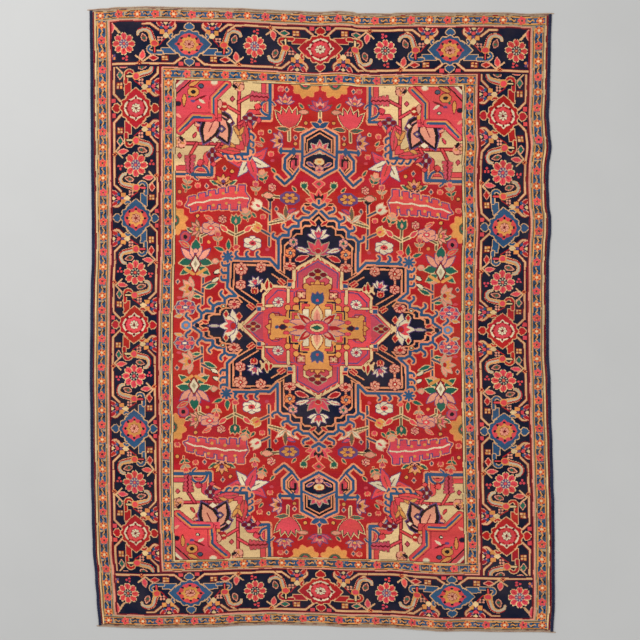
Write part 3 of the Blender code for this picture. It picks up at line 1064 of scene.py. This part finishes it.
def outer_corner(pen):
    """The coral point of the corner: two banded runs that mirror each other, and stripes across the tip."""
    p = pen.at(*KNEE)
    run = [(-1, 1), (-1, 1 + RUN), (-1 - 0.75 * RUN, 1 + 1.75 * RUN)]
    p.fill("coral", *run[::-1], *swapped(run), (40, -18), (40, 36), (-18, 36))
    for path in (run, swapped(run)):
        p.line("wine", 9.0, *path)
        p.line("coral", 7.8, *path)
        p.line("gold", 3.8, *[(x + 0.5, y + 0.5) for x, y in path])
        p.line("blue", 2.2, *path)
    for yarn, width, shift in (("wine", 11, 0), ("ivory", 2.6, 10), ("rose", 2.8, 14), ("black", 1.4, 18)):
        pen.line(yarn, width, (142 - shift, 250), (149, 243 - shift))
    bouquet(pen, (
        (octagon, 127, 233, 0, "gold", 5.4, 4.2, "wine", "black"),
        (blade, 131, 239, 65, "gold", 12, 3.6, "wine"), (blade, 136, 230, 180, "gold", 12, 3.6, "wine"),
        (octagon, 119, 239, 0, "slate", 2.2, 1.7, "black"), (octagon, 142, 221, 0, "navy", 2.6, 2, "wine"),
        (blade, 114, 230, -115, "wine", 15, 2.4),
        (blade, 121, 226, 125, "ivory", 8, 3), (octagon, 127, 224, 0, "violet", 2.3, 1.4),
        (octagon, 121, 218, 0, "ivory", 1.4, 1, "black"),
        (octagon, 131, 228, 0, "green", 1.3, 1.3), (blade, 144, 211, 125, "salmon", 7, 3),
        (octagon, 106, 243, 0, "ivory", 3, 2, "salmon"),
    ))


def butterfly(pen):
    """Two pairs of wings hanging from a chequered head."""
    for side in (1, -1):
        for turn, length, width in ((112, 15, 9), (156, 25, 15)):
            w = pen.at(turn=turn * side)
            blade(w, "violet", length + 3, width + 5)
            blade(w, "black", length + 1.6, width + 3)
            blade(w, "salmon", length - 1, width - 3, vein="wine")
    for i in (-1, 0, 1):
        for j in (-1, 0, 1):
            pen.at(3.3 * i, 3.3 * j).box("gold" if i == 1 or j == 1 else "coral", -1.5, -1.5, 1.5, 1.5,
                                         edge="wine", rim=0.3)


def corner(pen):
    """The cream corner of the field with its own border."""
    sides = (pen, pen.at(-CORNER_MIRROR, CORNER_MIRROR, turn=-90, flip=True))
    half = corner_half()
    edge = half[::-1] + [(y - CORNER_MIRROR, x + CORNER_MIRROR) for x, y in half[1:]]
    pen.fill("cream", *edge, (edge[-1][0], edge[0][1]))
    pen.line("coral", 8.4, *[(x + 4.4, y + 4.4) for x, y in edge], edge="wine", rim=0.6)
    pen.line("wine", 7.6, *[(x + 0.4, y + 0.4) for x, y in edge])
    band(pen, *edge, core=3.2, rim=1.9)
    for side in sides:
        p = side.at(half[3][0], half[3][1] + 3, turn=15)
        for yarn, thick, thin in (("wine", 5.8, 4.4), ("peach", 4.8, 3.6), ("blue", 2.8, 1.8)):
            curl(p, yarn, 4, 7.4, 230, thick, thin)
        (x, low), (_, high) = half[0:2]
        for tooth in (0.3, 0.6, 0.9):
            hook(side, x, low + (high - low) * tooth, 200)
    pen.line("blue", 3.2, *edge)
    for side in sides:
        bough(side)
    butterfly(pen.at(104, 210, size=1.16))
    bouquet(pen, (
        (diamond, 98, 197, 0, "violet", 3.4, 3.2, "navy", "cream"),
        (diamond, 105, 186, 0, "ivory", 4, 3, "wine"), (diamond, 90, 205, 0, "ivory", 2.6, 2.4, "wine"),
    ))
    outer_corner(pen)


NET = 3  # the distance from place to place on the net of the small motifs


def fill_gaps(pen, ground, reach, makes):
    """A small motif at each place of an even staggered net where only the ground yarn is still seen."""
    count = 0
    for row in range(int(FIELD_Y / NET)):
        for col in range(int(FIELD_X / NET)):
            x, y = NET * col + NET / 2 * (row % 2) + 2, NET * row + 2
            if x + reach < FIELD_X and y + reach < FIELD_Y and pen.free(ground, x, y, reach):
                make, drop, turn, *rest = makes[count % len(makes)]
                make(pen.at(x, y - drop, turn=turn * (-1) ** (count // 2)), *rest)
                count += 1


def small_motifs(pen):
    """Rows of a motif, how far it drops from its place, its turn and the rest of what it takes."""
    fill_gaps(pen, "red", 6.4, (
        (twig, 6, 10, 13, 2, "green", "coral"), (lotus, 4, 0, 9, "salmon", "rose", "gold", "violet"),
        (twig, 6, -20, 13, 2, "tan", "salmon"), (tulip, 4, 0, "ivory", 6, "salmon", "coral"),
    ))
    fill_gaps(pen, "red", 4.2, (
        (twig, 4, 0, 9, 1, "tan", "rose"), (daisy, 0, 0, "salmon", 4.2, "rose", 6, "wine", "ivory"),
        (twig, 4, 15, 9, 2, "green", "salmon"), (blade, 4, 60, "coral", 9, 3.4, "peach", "tan"),
    ))
    fill_gaps(pen, "red", 2.7, (
        (diamond, 0, 0, "slate", 1.7, 2.2, "salmon"), (tulip, 2, 0, "coral", 3, "peach"),
        (octagon, 0, 0, "gold", 1.7, 1.6, "wine"), (blade, 3, 40, "green", 6, 2.6, "peach"),
    ))
    fill_gaps(pen, "cream", 5, (
        (tulip, 3, 20, "coral", 4.4, "wine", "salmon"),
        (quatrefoil, 0, 0, "wine", 4.2, 4.6, "grey", "grey", "violet"),
        (blade, 4, 55, "coral", 9, 3.4, "wine", "brown"),
    ))
    fill_gaps(pen, "cream", 3, (
        (diamond, 0, 0, "rose", 2, 2.4, "wine"), (blade, 3, 30, "coral", 6, 2.4, "wine"),
    ))
    fill_gaps(pen, "navy", 3.4, (
        (tulip, 2, 0, "coral", 3, "salmon"), (diamond, 0, 0, "gold", 1.6, 2, "wine"),
        (blade, 3, 45, "red", 6, 2.4, "peach"),
    ))


def field(pen):
    pen.box("red", -OVER, -OVER, FIELD_X + OVER, FIELD_Y + OVER)
    field_flowers(pen)
    corner(pen)
    medallion(pen)
    medallion_flowers(pen)
    pendant(pen)
    small_motifs(pen)


# The rows of the field lie a little closer towards the ends
DRAWN_Y = (0, 54, 107, 160, 216, FIELD_Y)
WOVEN_Y = (0, 54.3, 106.2, 158.7, 212, 239)
BEYOND = 300  # what is woven past the field's end counts as drawn here, clear of the field


def draw():
    """The yarn number of every knot: the field folded into one quarter, then the borders over its edge."""
    x, y = knots()
    yarn = np.zeros(x.shape, np.uint8)
    rows = int(np.argmin(np.abs(y[:, x.shape[1] // 2])))
    cols = int(np.argmin(np.abs(x[x.shape[0] // 2])))
    folded = np.interp(np.abs(y), WOVEN_Y, DRAWN_Y, right=BEYOND)
    parts = []
    for rs in (slice(0, rows), slice(rows, None)):
        for cs in (slice(0, cols), slice(cols, None)):
            parts.append(View(np.abs(x[rs, cs]), folded[rs, cs], yarn[rs, cs]))
    field(Pen(parts))
    borders(Pen([View(x, y, yarn)]))
    return yarn


# ---- how the rug lies ---------------------------------------------------------------------------


def between(table, share):
    """The table's value at each share, eased from row to row."""
    rows = np.array(table)
    share = np.clip(share, 0.0, 1.0)
    k = np.clip(np.searchsorted(rows[:, 0], share, side="left") - 1, 0, len(rows) - 2)
    way = (share - rows[k, 0]) / (rows[k + 1, 0] - rows[k, 0])
    return rows[k, 1] + (rows[k + 1, 1] - rows[k, 1]) * (1 - np.cos(np.pi * way)) / 2


def lie_flat(u, v):
    """Loom places as the rug lies, before it is centred."""
    s, t = u / RUG_WIDTH + 0.5, v / RUG_LENGTH + 0.5
    x = u - between(LEFT_EDGE, t) * (1 - s) ** FADE + between(RIGHT_EDGE, t) * s**FADE
    y = v - between(BOTTOM_EDGE, s) * (1 - t) ** FADE + between(TOP_EDGE, s) * t**FADE
    return x, y - SKEW * u


STEPS_V = 84  # steps along a selvedge's solid


def centring():
    """How far the whole rug is moved so that it lies over the origin, read off a selvedge's box."""
    stations = (BODY_V - GAP) * (2 * np.arange(STEPS_V + 1) / STEPS_V - 1)
    outer = np.full(len(stations), -(RUG_WIDTH - SELVEDGE_WIDTH) / 2 - (SELVEDGE_WIDTH - 2 * GAP) / 2)
    x, y = lie_flat(outer, stations)
    inner_y = lie_flat(outer + SELVEDGE_WIDTH - 2 * GAP, stations)[1]
    low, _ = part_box("selvedge_left")
    return low[0] - x.min(), low[1] - min(y.min(), inner_y.min())


SHIFT_X, SHIFT_Y = centring()


def lie(u, v, z):
    """Places in the frame, one row each."""
    u, v = np.broadcast_arrays(np.asarray(u, float), np.asarray(v, float))
    x, y = lie_flat(u, v)
    return np.stack([x + SHIFT_X, y + SHIFT_Y, np.broadcast_to(z, x.shape)], axis=-1)


# ---- materials ----------------------------------------------------------------------------------


def linear(yarn):
    """A yarn's name, or its red, green and blue of 255, as a linear opaque colour."""
    c = np.array(YARNS[yarn] if isinstance(yarn, str) else yarn) / 255
    return (*np.where(c <= 0.04045, c / 12.92, ((c + 0.055) / 1.055) ** 2.4), 1.0)


class Nodes:
    """A short way to build a material's nodes."""

    def __init__(self, name, sheen=0.0, specular=0.2):
        self.material = bpy.data.materials.new(name)
        self.material.use_nodes = True
        self.tree = self.material.node_tree
        self.shader = self.tree.nodes["Principled BSDF"]
        self.shader.inputs["Specular IOR Level"].default_value = specular
        self.shader.inputs["Sheen Weight"].default_value = sheen
        self.shader.inputs["Sheen Roughness"].default_value = 0.5

    def add(self, kind, out, settings=(), **inputs):
        """A node's output; i0, i1 and so on are its inputs by number, the others by name."""
        node = self.tree.nodes.new(kind)
        for key, value in dict(settings).items():
            setattr(node, key, value)
        for key, value in inputs.items():
            socket = node.inputs[int(key[1:])] if key[1:].isdigit() else node.inputs[key.replace("_", " ")]
            if isinstance(value, bpy.types.NodeSocket):
                self.tree.links.new(value, socket)
            else:
                socket.default_value = value
        return node.outputs[out]

    def math(self, operation, a, b):
        return self.add("ShaderNodeMath", 0, {"operation": operation}, i0=a, i1=b)

    def vector(self, operation, a, b=(0.0, 0.0, 0.0)):
        return self.add("ShaderNodeVectorMath", 0, {"operation": operation}, i0=a, i1=b)

    def scaled(self, vector, x, y, z=1.0):
        return self.vector("MULTIPLY", vector, (x, y, z))

    def noise(self, vector, scale=1.0, detail=2.0, roughness=0.5):
        return self.add("ShaderNodeTexNoise", 0, Vector=vector, Scale=scale, Detail=detail,
                        Roughness=roughness)

    def ranged(self, value, low, high, to_low, to_high):
        return self.add("ShaderNodeMapRange", 0, Value=value, From_Min=low, From_Max=high,
                        To_Min=to_low, To_Max=to_high)

    def attribute(self, name, out):
        return self.add("ShaderNodeAttribute", out, {"attribute_name": name})

    def mix(self, factor, a, b):
        return self.add("ShaderNodeMix", 2, {"data_type": "RGBA"}, i0=factor, i6=a, i7=b)

    def shade(self, colour, value, hue=0.5):
        return self.add("ShaderNodeHueSaturation", 0, Hue=hue, Saturation=1.0, Value=value, Fac=1.0,
                        Color=colour)

    def finish(self, colour, roughness, height, strength, distance):
        bump = self.add("ShaderNodeBump", 0, Height=height, Strength=strength, Distance=distance)
        self.tree.links.new(colour, self.shader.inputs["Base Color"])
        self.tree.links.new(roughness, self.shader.inputs["Roughness"])
        self.tree.links.new(bump, self.shader.inputs["Normal"])
        return self.material


def pile_material():
    """Wool whose knots, rows and dye batches differ a little, worn in patches and tufted."""
    n = Nodes("pile_wool", sheen=0.12, specular=0.12)
    yarn = n.attribute("Yarn", "Color")
    dye = n.attribute("Dye", "Fac")
    loom = n.attribute("Loom", "Vector")
    # the dye changes from batch to batch along the loom, differently for each colour
    batch = n.add("ShaderNodeCombineXYZ", 0, X=0.0, Y=0.0, Z=n.math("MULTIPLY", dye, 37.0))
    place = n.vector("ADD", n.scaled(loom, 0.004, 0.035, 0.0), batch)
    bands = n.ranged(n.noise(place, 1.0, 3.0), 0.3, 0.7, 0.80, 1.20)
    knot = n.add("ShaderNodeTexWhiteNoise", 0, {"noise_dimensions": "3D"}, Vector=n.vector("FLOOR", loom))
    knots_vary = n.ranged(knot, 0.0, 1.0, 0.87, 1.13)
    fibre = n.noise(n.scaled(loom, 3.1, 2.3, 1.0), 1.0, 3.0, 0.65)
    fibres_vary = n.ranged(fibre, 0.3, 0.7, 0.90, 1.10)
    row = n.noise(n.scaled(loom, 0.06, 0.9, 1.0), 1.0, 1.0)
    rows_vary = n.ranged(row, 0.3, 0.7, 0.93, 1.07)
    value = n.math("MULTIPLY", n.math("MULTIPLY", bands, knots_vary),
                   n.math("MULTIPLY", fibres_vary, rows_vary))
    wear = n.ranged(n.noise(n.scaled(loom, 0.017, 0.017), 1.0, 4.0, 0.6), 0.40, 0.68, 0.0, 0.05)
    faded = n.mix(wear, yarn, linear((188, 150, 122)))
    hue = n.ranged(n.noise(n.scaled(place, 0.8, 0.8, 1.0), 1.3, 1.0), 0.3, 0.7, 0.495, 0.505)
    tuft = n.add("ShaderNodeTexVoronoi", 0, Vector=loom, Scale=1.0, Randomness=0.5)
    swell = n.noise(n.scaled(loom, 0.11, 0.16), 1.0, 3.0)
    height = n.math("ADD", n.math("MULTIPLY", tuft, -0.55),
                    n.math("ADD", n.math("MULTIPLY", fibre, 0.5), n.math("MULTIPLY", swell, 2.2)))
    return n.finish(n.shade(faded, value, hue), n.ranged(fibre, 0.3, 0.7, 0.84, 0.98), height, 0.6, 0.0016)


def yarn_material(name, first, second, stretch):
    """Plied yarn wrapped round a cord; stretch draws its fibres out along the wraps."""
    n = Nodes(name, sheen=0.15, specular=0.15)
    place = n.add("ShaderNodeTexCoord", "Object")
    thread = n.noise(n.scaled(place, *stretch), 400.0, 3.0, 0.6)
    patch = n.noise(place, 9.0, 4.0, 0.6)
    mixed = n.mix(n.ranged(patch, 0.35, 0.65, 0.0, 1.0), linear(first), linear(second))
    colour = n.shade(mixed, n.ranged(thread, 0.3, 0.7, 0.72, 1.28))
    return n.finish(colour, n.ranged(thread, 0.3, 0.7, 0.8, 0.96), thread, 0.7, 0.0008)


def weave_material():
    """The foundation: cream cotton warps crossed by wefts, striped where it shows at the ends."""
    n = Nodes("woven_ground", sheen=0.1, specular=0.1)
    place = n.add("ShaderNodeTexCoord", "Object")

    def threads(direction, scale, distortion):
        settings = {"bands_direction": direction, "wave_profile": "SIN"}
        return n.add("ShaderNodeTexWave", 1, settings, Vector=place, Scale=scale, Distortion=distortion,
                     Detail=2.0)

    weave = n.math("MULTIPLY", threads("X", 95.0, 0.6), threads("Y", 150.0, 0.8))
    patch = n.noise(place, 30.0, 4.0, 0.6)
    ground = n.mix(n.ranged(patch, 0.35, 0.65, 0.0, 1.0), linear((206, 178, 148)), linear((176, 142, 118)))
    stripe = n.mix(n.ranged(patch, 0.5, 0.62, 0.0, 0.6), ground, linear((150, 78, 72)))
    colour = n.shade(stripe, n.ranged(weave, 0.0, 1.0, 0.75, 1.15))
    return n.finish(colour, n.ranged(weave, 0.0, 1.0, 0.92, 0.85), weave, 0.7, 0.0006)


# ---- the pieces ---------------------------------------------------------------------------------

STRIPS = 6  # the pieces that the pile is built in
PILE_INSET = 0.0012  # how far the pile's cut edge keeps clear of the body's
PILE_DIP = 0.0003  # how far the pile's middle height lies below the top of the solid
RIPPLE, RIPPLE_SCALE = 0.0008, 60
SKIRT_LEAN, SKIRT_SINK = 0.001, 0.0004  # the cut edge leans out, and sinks into the foundation
MAP_MARGIN = 0.008  # round each half of a strip's map


def build(name, verts, faces, mat, node=None):
    mesh = bpy.data.meshes.new(name)
    mesh.from_pydata([tuple(p) for p in verts], [], faces)
    mesh.materials.append(mat)
    piece = bpy.data.objects.new(name, mesh)
    bpy.context.scene.collection.objects.link(piece)
    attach(piece, "root")
    if node:
        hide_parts(node)
    return piece


def rectangles(block):
    """Cuts a cell of knots into plain rectangles, greedily: (row, column, rows, columns, yarn)."""
    rows, cols = block.shape
    block = block.tolist()
    taken = [[False] * cols for _ in range(rows)]

    def plain(row, start, stop, yarn):
        return all(block[row][k] == yarn and not taken[row][k] for k in range(start, stop))

    out = []
    for r in range(rows):
        for c in range(cols):
            if taken[r][c]:
                continue
            yarn = block[r][c]
            wide = 1
            while c + wide < cols and plain(r, c + wide, c + wide + 1, yarn):
                wide += 1
            tall = 1
            while r + tall < rows and plain(r + tall, c, c + wide, yarn):
                tall += 1
            for i in range(r, r + tall):
                taken[i][c:c + wide] = [True] * wide
            out.append((r, c, tall, wide, yarn))
    return out


class Strip:
    """A full-length strip of the pile between two columns of cells: vertices with their loom places, in
    knots, and faces with their yarns."""

    def __init__(self, yarn, corners, first, last):
        self.yarn, self.corners, self.first, self.last = yarn, corners, first, last
        self.faces, self.tones = [], []
        index = {}
        for i in range(0, yarn.shape[0], CELL):
            for j in range(first * CELL, last * CELL, CELL):
                for r, c, tall, wide, tone in rectangles(yarn[i:i + CELL, j:j + CELL]):
                    low, left, high, right = i + r, j + c, i + r + tall, j + c + wide
                    ring = ((low, left), (low, right), (high, right), (high, left))
                    self.faces.append(tuple(index.setdefault(place, len(index)) for place in ring))
                    self.tones.append(tone)
        grid = np.array(list(index), float)
        self.verts = self.places(grid).tolist()
        self.loom = np.stack([grid[:, 1], grid[:, 0], np.zeros(len(grid))], 1).tolist()

    def places(self, grid):
        """Where knots lie, by row and column, straight between the corners of their cell."""
        down, across = self.corners.shape[0] - 1, self.corners.shape[1] - 1
        i = np.clip(np.floor(grid[:, 0] / CELL), 0, down - 1).astype(int)
        j = np.clip(np.floor(grid[:, 1] / CELL), 0, across - 1).astype(int)
        di, dj = (grid[:, 0] / CELL - i)[:, None], (grid[:, 1] / CELL - j)[:, None]
        return (self.corners[i, j] * (1 - di) * (1 - dj) + self.corners[i + 1, j] * di * (1 - dj)
                + self.corners[i, j + 1] * (1 - di) * dj + self.corners[i + 1, j + 1] * di * dj)

    def skirt(self, line, out_x, out_y, order):
        """The cut edge of the pile along a line of cell corners, down to the foundation."""
        rows, cols = self.yarn.shape
        for near, far in zip(line, line[1:]):
            base = len(self.verts)
            for (i, j), down in ((near, 0), (far, 0), (far, 1), (near, 1)):
                x, y, z = self.corners[i, j]
                foot = FLAT_WEAVE_TOP - SKIRT_SINK if down else z
                self.verts.append([x + down * out_x * SKIRT_LEAN, y + down * out_y * SKIRT_LEAN, foot])
                self.loom.append([j * CELL, i * CELL, 2 * down])
            self.faces.append((base, base + 1, base + 2, base + 3)[::order])
            self.tones.append(self.yarn[min(near[0] * CELL, rows - 1), min(near[1] * CELL, cols - 1)])

    def piece(self, name, wool):
        piece = build(name, self.verts, self.faces, wool)
        mesh, tones, loom = piece.data, np.array(self.tones), np.array(self.loom, np.float32)
        palette = np.array([linear(yarn) for yarn in NAMES])
        colour = mesh.color_attributes.new("Yarn", "FLOAT_COLOR", "CORNER")
        colour.data.foreach_set("color", np.repeat(palette[tones], 4, axis=0).astype(np.float32).ravel())
        dye = mesh.attributes.new("Dye", "FLOAT", "FACE")
        dye.data.foreach_set("value", (tones / len(NAMES)).astype(np.float32))
        where = mesh.attributes.new("Loom", "FLOAT_VECTOR", "POINT")
        where.data.foreach_set("vector", loom.ravel())
        self.add_map(mesh, loom)
        return piece

    def add_map(self, mesh, loom):
        """The strip laid out flat: its lower and its upper half side by side."""
        flat = mesh.uv_layers.new(name="OFBake")
        vertex = np.zeros(len(mesh.loops), np.int32)
        mesh.loops.foreach_get("vertex_index", vertex)
        c, r = loom[vertex, 0], loom[vertex, 1]
        rows = self.yarn.shape[0]
        middle = (rows // CELL // 2) * CELL
        upper = np.repeat(r.reshape(-1, 4).mean(axis=1), 4) > middle
        across = (c - self.first * CELL) / ((self.last - self.first) * CELL)
        along = np.where(upper, (r - middle) / (rows - middle), r / middle)
        places = np.stack([MAP_MARGIN + (0.5 - 2 * MAP_MARGIN) * across + np.where(upper, 0.5, 0.0),
                           MAP_MARGIN + (1 - 2 * MAP_MARGIN) * along], 1)
        flat.data.foreach_set("uv", places.astype(np.float32).ravel())


def pile_pieces(yarn):
    """The pile's strips, with skirts down its ends and, on the outer strips, down its sides."""
    down, across = yarn.shape[0] // CELL, yarn.shape[1] // CELL
    u = np.linspace(-BODY_U + PILE_INSET, BODY_U - PILE_INSET, across + 1)
    v = np.linspace(-PILE_V + PILE_INSET, PILE_V - PILE_INSET, down + 1)
    uu, vv = np.meshgrid(u, v)
    ripple = RIPPLE * wobble(uu * RIPPLE_SCALE, vv * RIPPLE_SCALE, 7)
    corners = lie(uu, vv, PILE_TOP - PILE_DIP + ripple)
    wool = pile_material()
    cuts = [round(across * k / STRIPS) for k in range(STRIPS + 1)]
    pieces = []
    for part, (first, last) in enumerate(zip(cuts, cuts[1:]), 1):
        strip = Strip(yarn, corners, first, last)
        strip.skirt([(0, j) for j in range(first, last + 1)], 0, -1, -1)
        strip.skirt([(down, j) for j in range(first, last + 1)], 0, 1, 1)
        if part == 1:
            strip.skirt([(i, 0) for i in range(down + 1)], -1, 0, 1)
        if part == STRIPS:
            strip.skirt([(i, across) for i in range(down + 1)], 1, 0, -1)
        pieces.append(strip.piece(f"pile_{part}", wool))
    return pieces


GROUND_ACROSS, GROUND_ALONG = 160, 120  # stations of the foundation, along only those under the pile
END_STEP, PILE_STEP = 0.004, 0.002  # its other stations lie in from its ends and in from the pile's
WEAVE_RIPPLE, WEAVE_SCALE = 0.0003, 300


def foundation():
    """The woven ground below the pile, showing at the flat-woven ends."""
    across = np.linspace(-BODY_U + GAP, BODY_U - GAP, GROUND_ACROSS)
    along = np.concatenate([[-BODY_V + GAP, -BODY_V + END_STEP],
                            np.linspace(-PILE_V + PILE_STEP, PILE_V - PILE_STEP, GROUND_ALONG),
                            [BODY_V - END_STEP, BODY_V - GAP]])
    uu, vv = np.meshgrid(across, along)
    ripple = WEAVE_RIPPLE * wobble(uu * WEAVE_SCALE, vv * WEAVE_SCALE, 3)
    top = lie(uu, vv, FLAT_WEAVE_TOP + ripple).reshape(-1, 3)
    low = lie(uu, vv, 0.0).reshape(-1, 3)
    off = len(top)
    number = np.arange(off).reshape(uu.shape)
    faces = []
    for near, far in zip(number.tolist(), number[1:].tolist()):
        for a, b, c, d in zip(near, near[1:], far[1:], far):
            faces.append((a, b, c, d))
            faces.append((off + a, off + d, off + c, off + b))
    ring = np.concatenate([number[0], number[1:, -1], number[-1, -2::-1], number[-2:0:-1, 0]]).tolist()
    for a, b in zip(ring, ring[1:] + ring[:1]):
        faces.append((a, a + off, b + off, b))
    return build("foundation", np.concatenate([top, low]), faces, weave_material(), "rug_body")


TURN_STATIONS = 4  # rings of vertices along one turn of an edge's yarn
TURN_LEAN = 0.35  # how far a turn leans over the cord, as a share of its pitch
TIGHT, GROOVE = 0.86, 0.16  # the tightest turn's share of the full width, and the depth between turns
FOOT = 0.0002  # the lowest height of a turn


def wrapped(name, u, v, across, width, top, pitch, mat, seed, sides):
    """A cord overcast with yarn: u and v are its stations' loom places, every turn of yarn a ridge."""
    rng = np.random.default_rng(seed)
    turn = 2 * np.pi * (np.arange(sides) + 0.5) / sides
    run = np.concatenate([[0], np.cumsum(np.hypot(np.diff(u), np.diff(v)))])
    phase = run / pitch
    turns = int(phase[-1]) + 2
    loose = np.interp(phase, np.arange(turns), rng.uniform(TIGHT, 1.0, turns))
    ridge = np.abs(np.sin(np.pi * (phase[:, None] + TURN_LEAN * np.cos(turn)[None, :])))
    scale = loose[:, None] * (1 - GROOVE + GROOVE * ridge**0.7)
    side = (width / 2)[:, None] * np.cos(turn)[None, :] * scale
    places = lie(u[:, None] + across[0] * side, v[:, None] + across[1] * side, 0.0)
    places[..., 2] = np.maximum(top[:, None] / 2 * (1 + np.sin(turn)[None, :] * scale), FOOT)
    verts = places.reshape(-1, 3)
    faces = []
    for i in range(len(u) - 1):
        for k in range(sides):
            a, b = i * sides + k, i * sides + (k + 1) % sides
            faces.append((a, b, b + sides, a + sides) if across[0] else (a, a + sides, b + sides, b))
    start, end = tuple(range(sides)), tuple(range(len(verts) - sides, len(verts)))
    faces += [start[::-1], end] if across[0] else [start, end[::-1]]
    piece = build(name + "_wrap", verts, faces, mat, name)
    piece.data.polygons.foreach_set("use_smooth", [True] * len(piece.data.polygons))
    return piece


def selvedges():
    """The navy cords down the two sides."""
    navy = yarn_material("selvedge_wool", (30, 34, 60), (46, 50, 78), (0.25, 1.0, 1.0))
    pitch = 0.0044
    v = np.arange(-BODY_V + GAP, BODY_V - GAP, pitch / TURN_STATIONS)
    width, top = np.full(len(v), SELVEDGE_WIDTH - GAP), np.full(len(v), SELVEDGE_TOP)
    pieces = []
    for name, side, seed in (("selvedge_left", -1, 21), ("selvedge_right", 1, 22)):
        u = np.full(len(v), side * (RUG_WIDTH - SELVEDGE_WIDTH) / 2)
        pieces.append(wrapped(name, u, v, (1.0, 0.0), width, top, pitch, navy, seed, 10))
    return pieces


def bindings():
    """The cream yarn along the two ends, thinning to a tail past each corner."""
    cream = yarn_material("binding_yarn", (206, 180, 150), (172, 134, 112), (1.0, 0.25, 1.0))
    pitch = 0.0036
    tip = RUG_WIDTH / 2 + TAIL_LENGTH
    u = np.arange(-tip, tip, pitch / TURN_STATIONS)
    tail = np.clip((tip - np.abs(u)) / TAIL_LENGTH, 0, 1)
    width = TAIL_WIDTH + (BINDING_WIDTH - 2 * GAP - TAIL_WIDTH) * tail
    top = TAIL_TOP + (BINDING_TOP - TAIL_TOP) * tail
    pieces = []
    for name, end, seed in (("end_binding_bottom", -1, 31), ("end_binding_top", 1, 32)):
        v = np.full(len(u), end * (RUG_LENGTH - BINDING_WIDTH) / 2)
        pieces.append(wrapped(name, u, v, (0.0, 1.0), width, top, pitch, cream, seed, 8))
    return pieces


pile = pile_pieces(draw())
ground = foundation()
trim = selvedges() + bindings()

# ---- floor, camera and light --------------------------------------------------------------------

CAMERA_HEIGHT = 8.0
SENSOR = 36.0
VIEW_WIDTH = 640  # squares that the camera sees across


def link(thing):
    bpy.context.scene.collection.objects.link(thing)
    return thing


def studio_floor():
    bpy.ops.mesh.primitive_plane_add(size=16, location=(0, 0, 0))
    floor = bpy.context.object
    floor.name = "studio_floor"
    paint = Nodes("floor_paint", specular=0.3)
    grain = paint.noise(paint.add("ShaderNodeTexCoord", "Object"), 3.0, 3.0)
    grey = paint.mix(grain, (0.62, 0.62, 0.61, 1), (0.66, 0.66, 0.65, 1))
    floor.data.materials.append(paint.finish(grey, paint.ranged(grain, 0, 1, 0.7, 0.8), grain, 0.05, 0.001))
    return floor


def area_light(name, place, size, power):
    """A lamp that faces the middle of the rug."""
    bulb = bpy.data.lights.new(name, "AREA")
    bulb.size, bulb.energy = size, power
    lamp = link(bpy.data.objects.new(name, bulb))
    lamp.location = place
    x, y, z = place
    lamp.rotation_euler = (math.atan2(math.hypot(x, y), z), 0, math.atan2(x, -y))


studio_floor()

lens = bpy.data.cameras.new("above")
lens.sensor_width = SENSOR
lens.lens = SENSOR * (CAMERA_HEIGHT - PILE_TOP) / (VIEW_WIDTH * SQUARE)
camera = link(bpy.data.objects.new("above", lens))
camera.location = (SHIFT_X - SQUARE, SHIFT_Y, CAMERA_HEIGHT)
bpy.context.scene.camera = camera

area_light("key", (-3.4, 3.2, 5.0), 3.0, 200.0)
area_light("fill", (3.6, -2.4, 5.6), 4.0, 60.0)
world = bpy.data.worlds.new("soft")
bpy.context.scene.world = world
world.use_nodes = True
world.node_tree.nodes["Background"].inputs[0].default_value = (1.0, 1.0, 1.0, 1.0)
world.node_tree.nodes["Background"].inputs[1].default_value = 0.50
bpy.context.scene.view_settings.view_transform = "Standard"
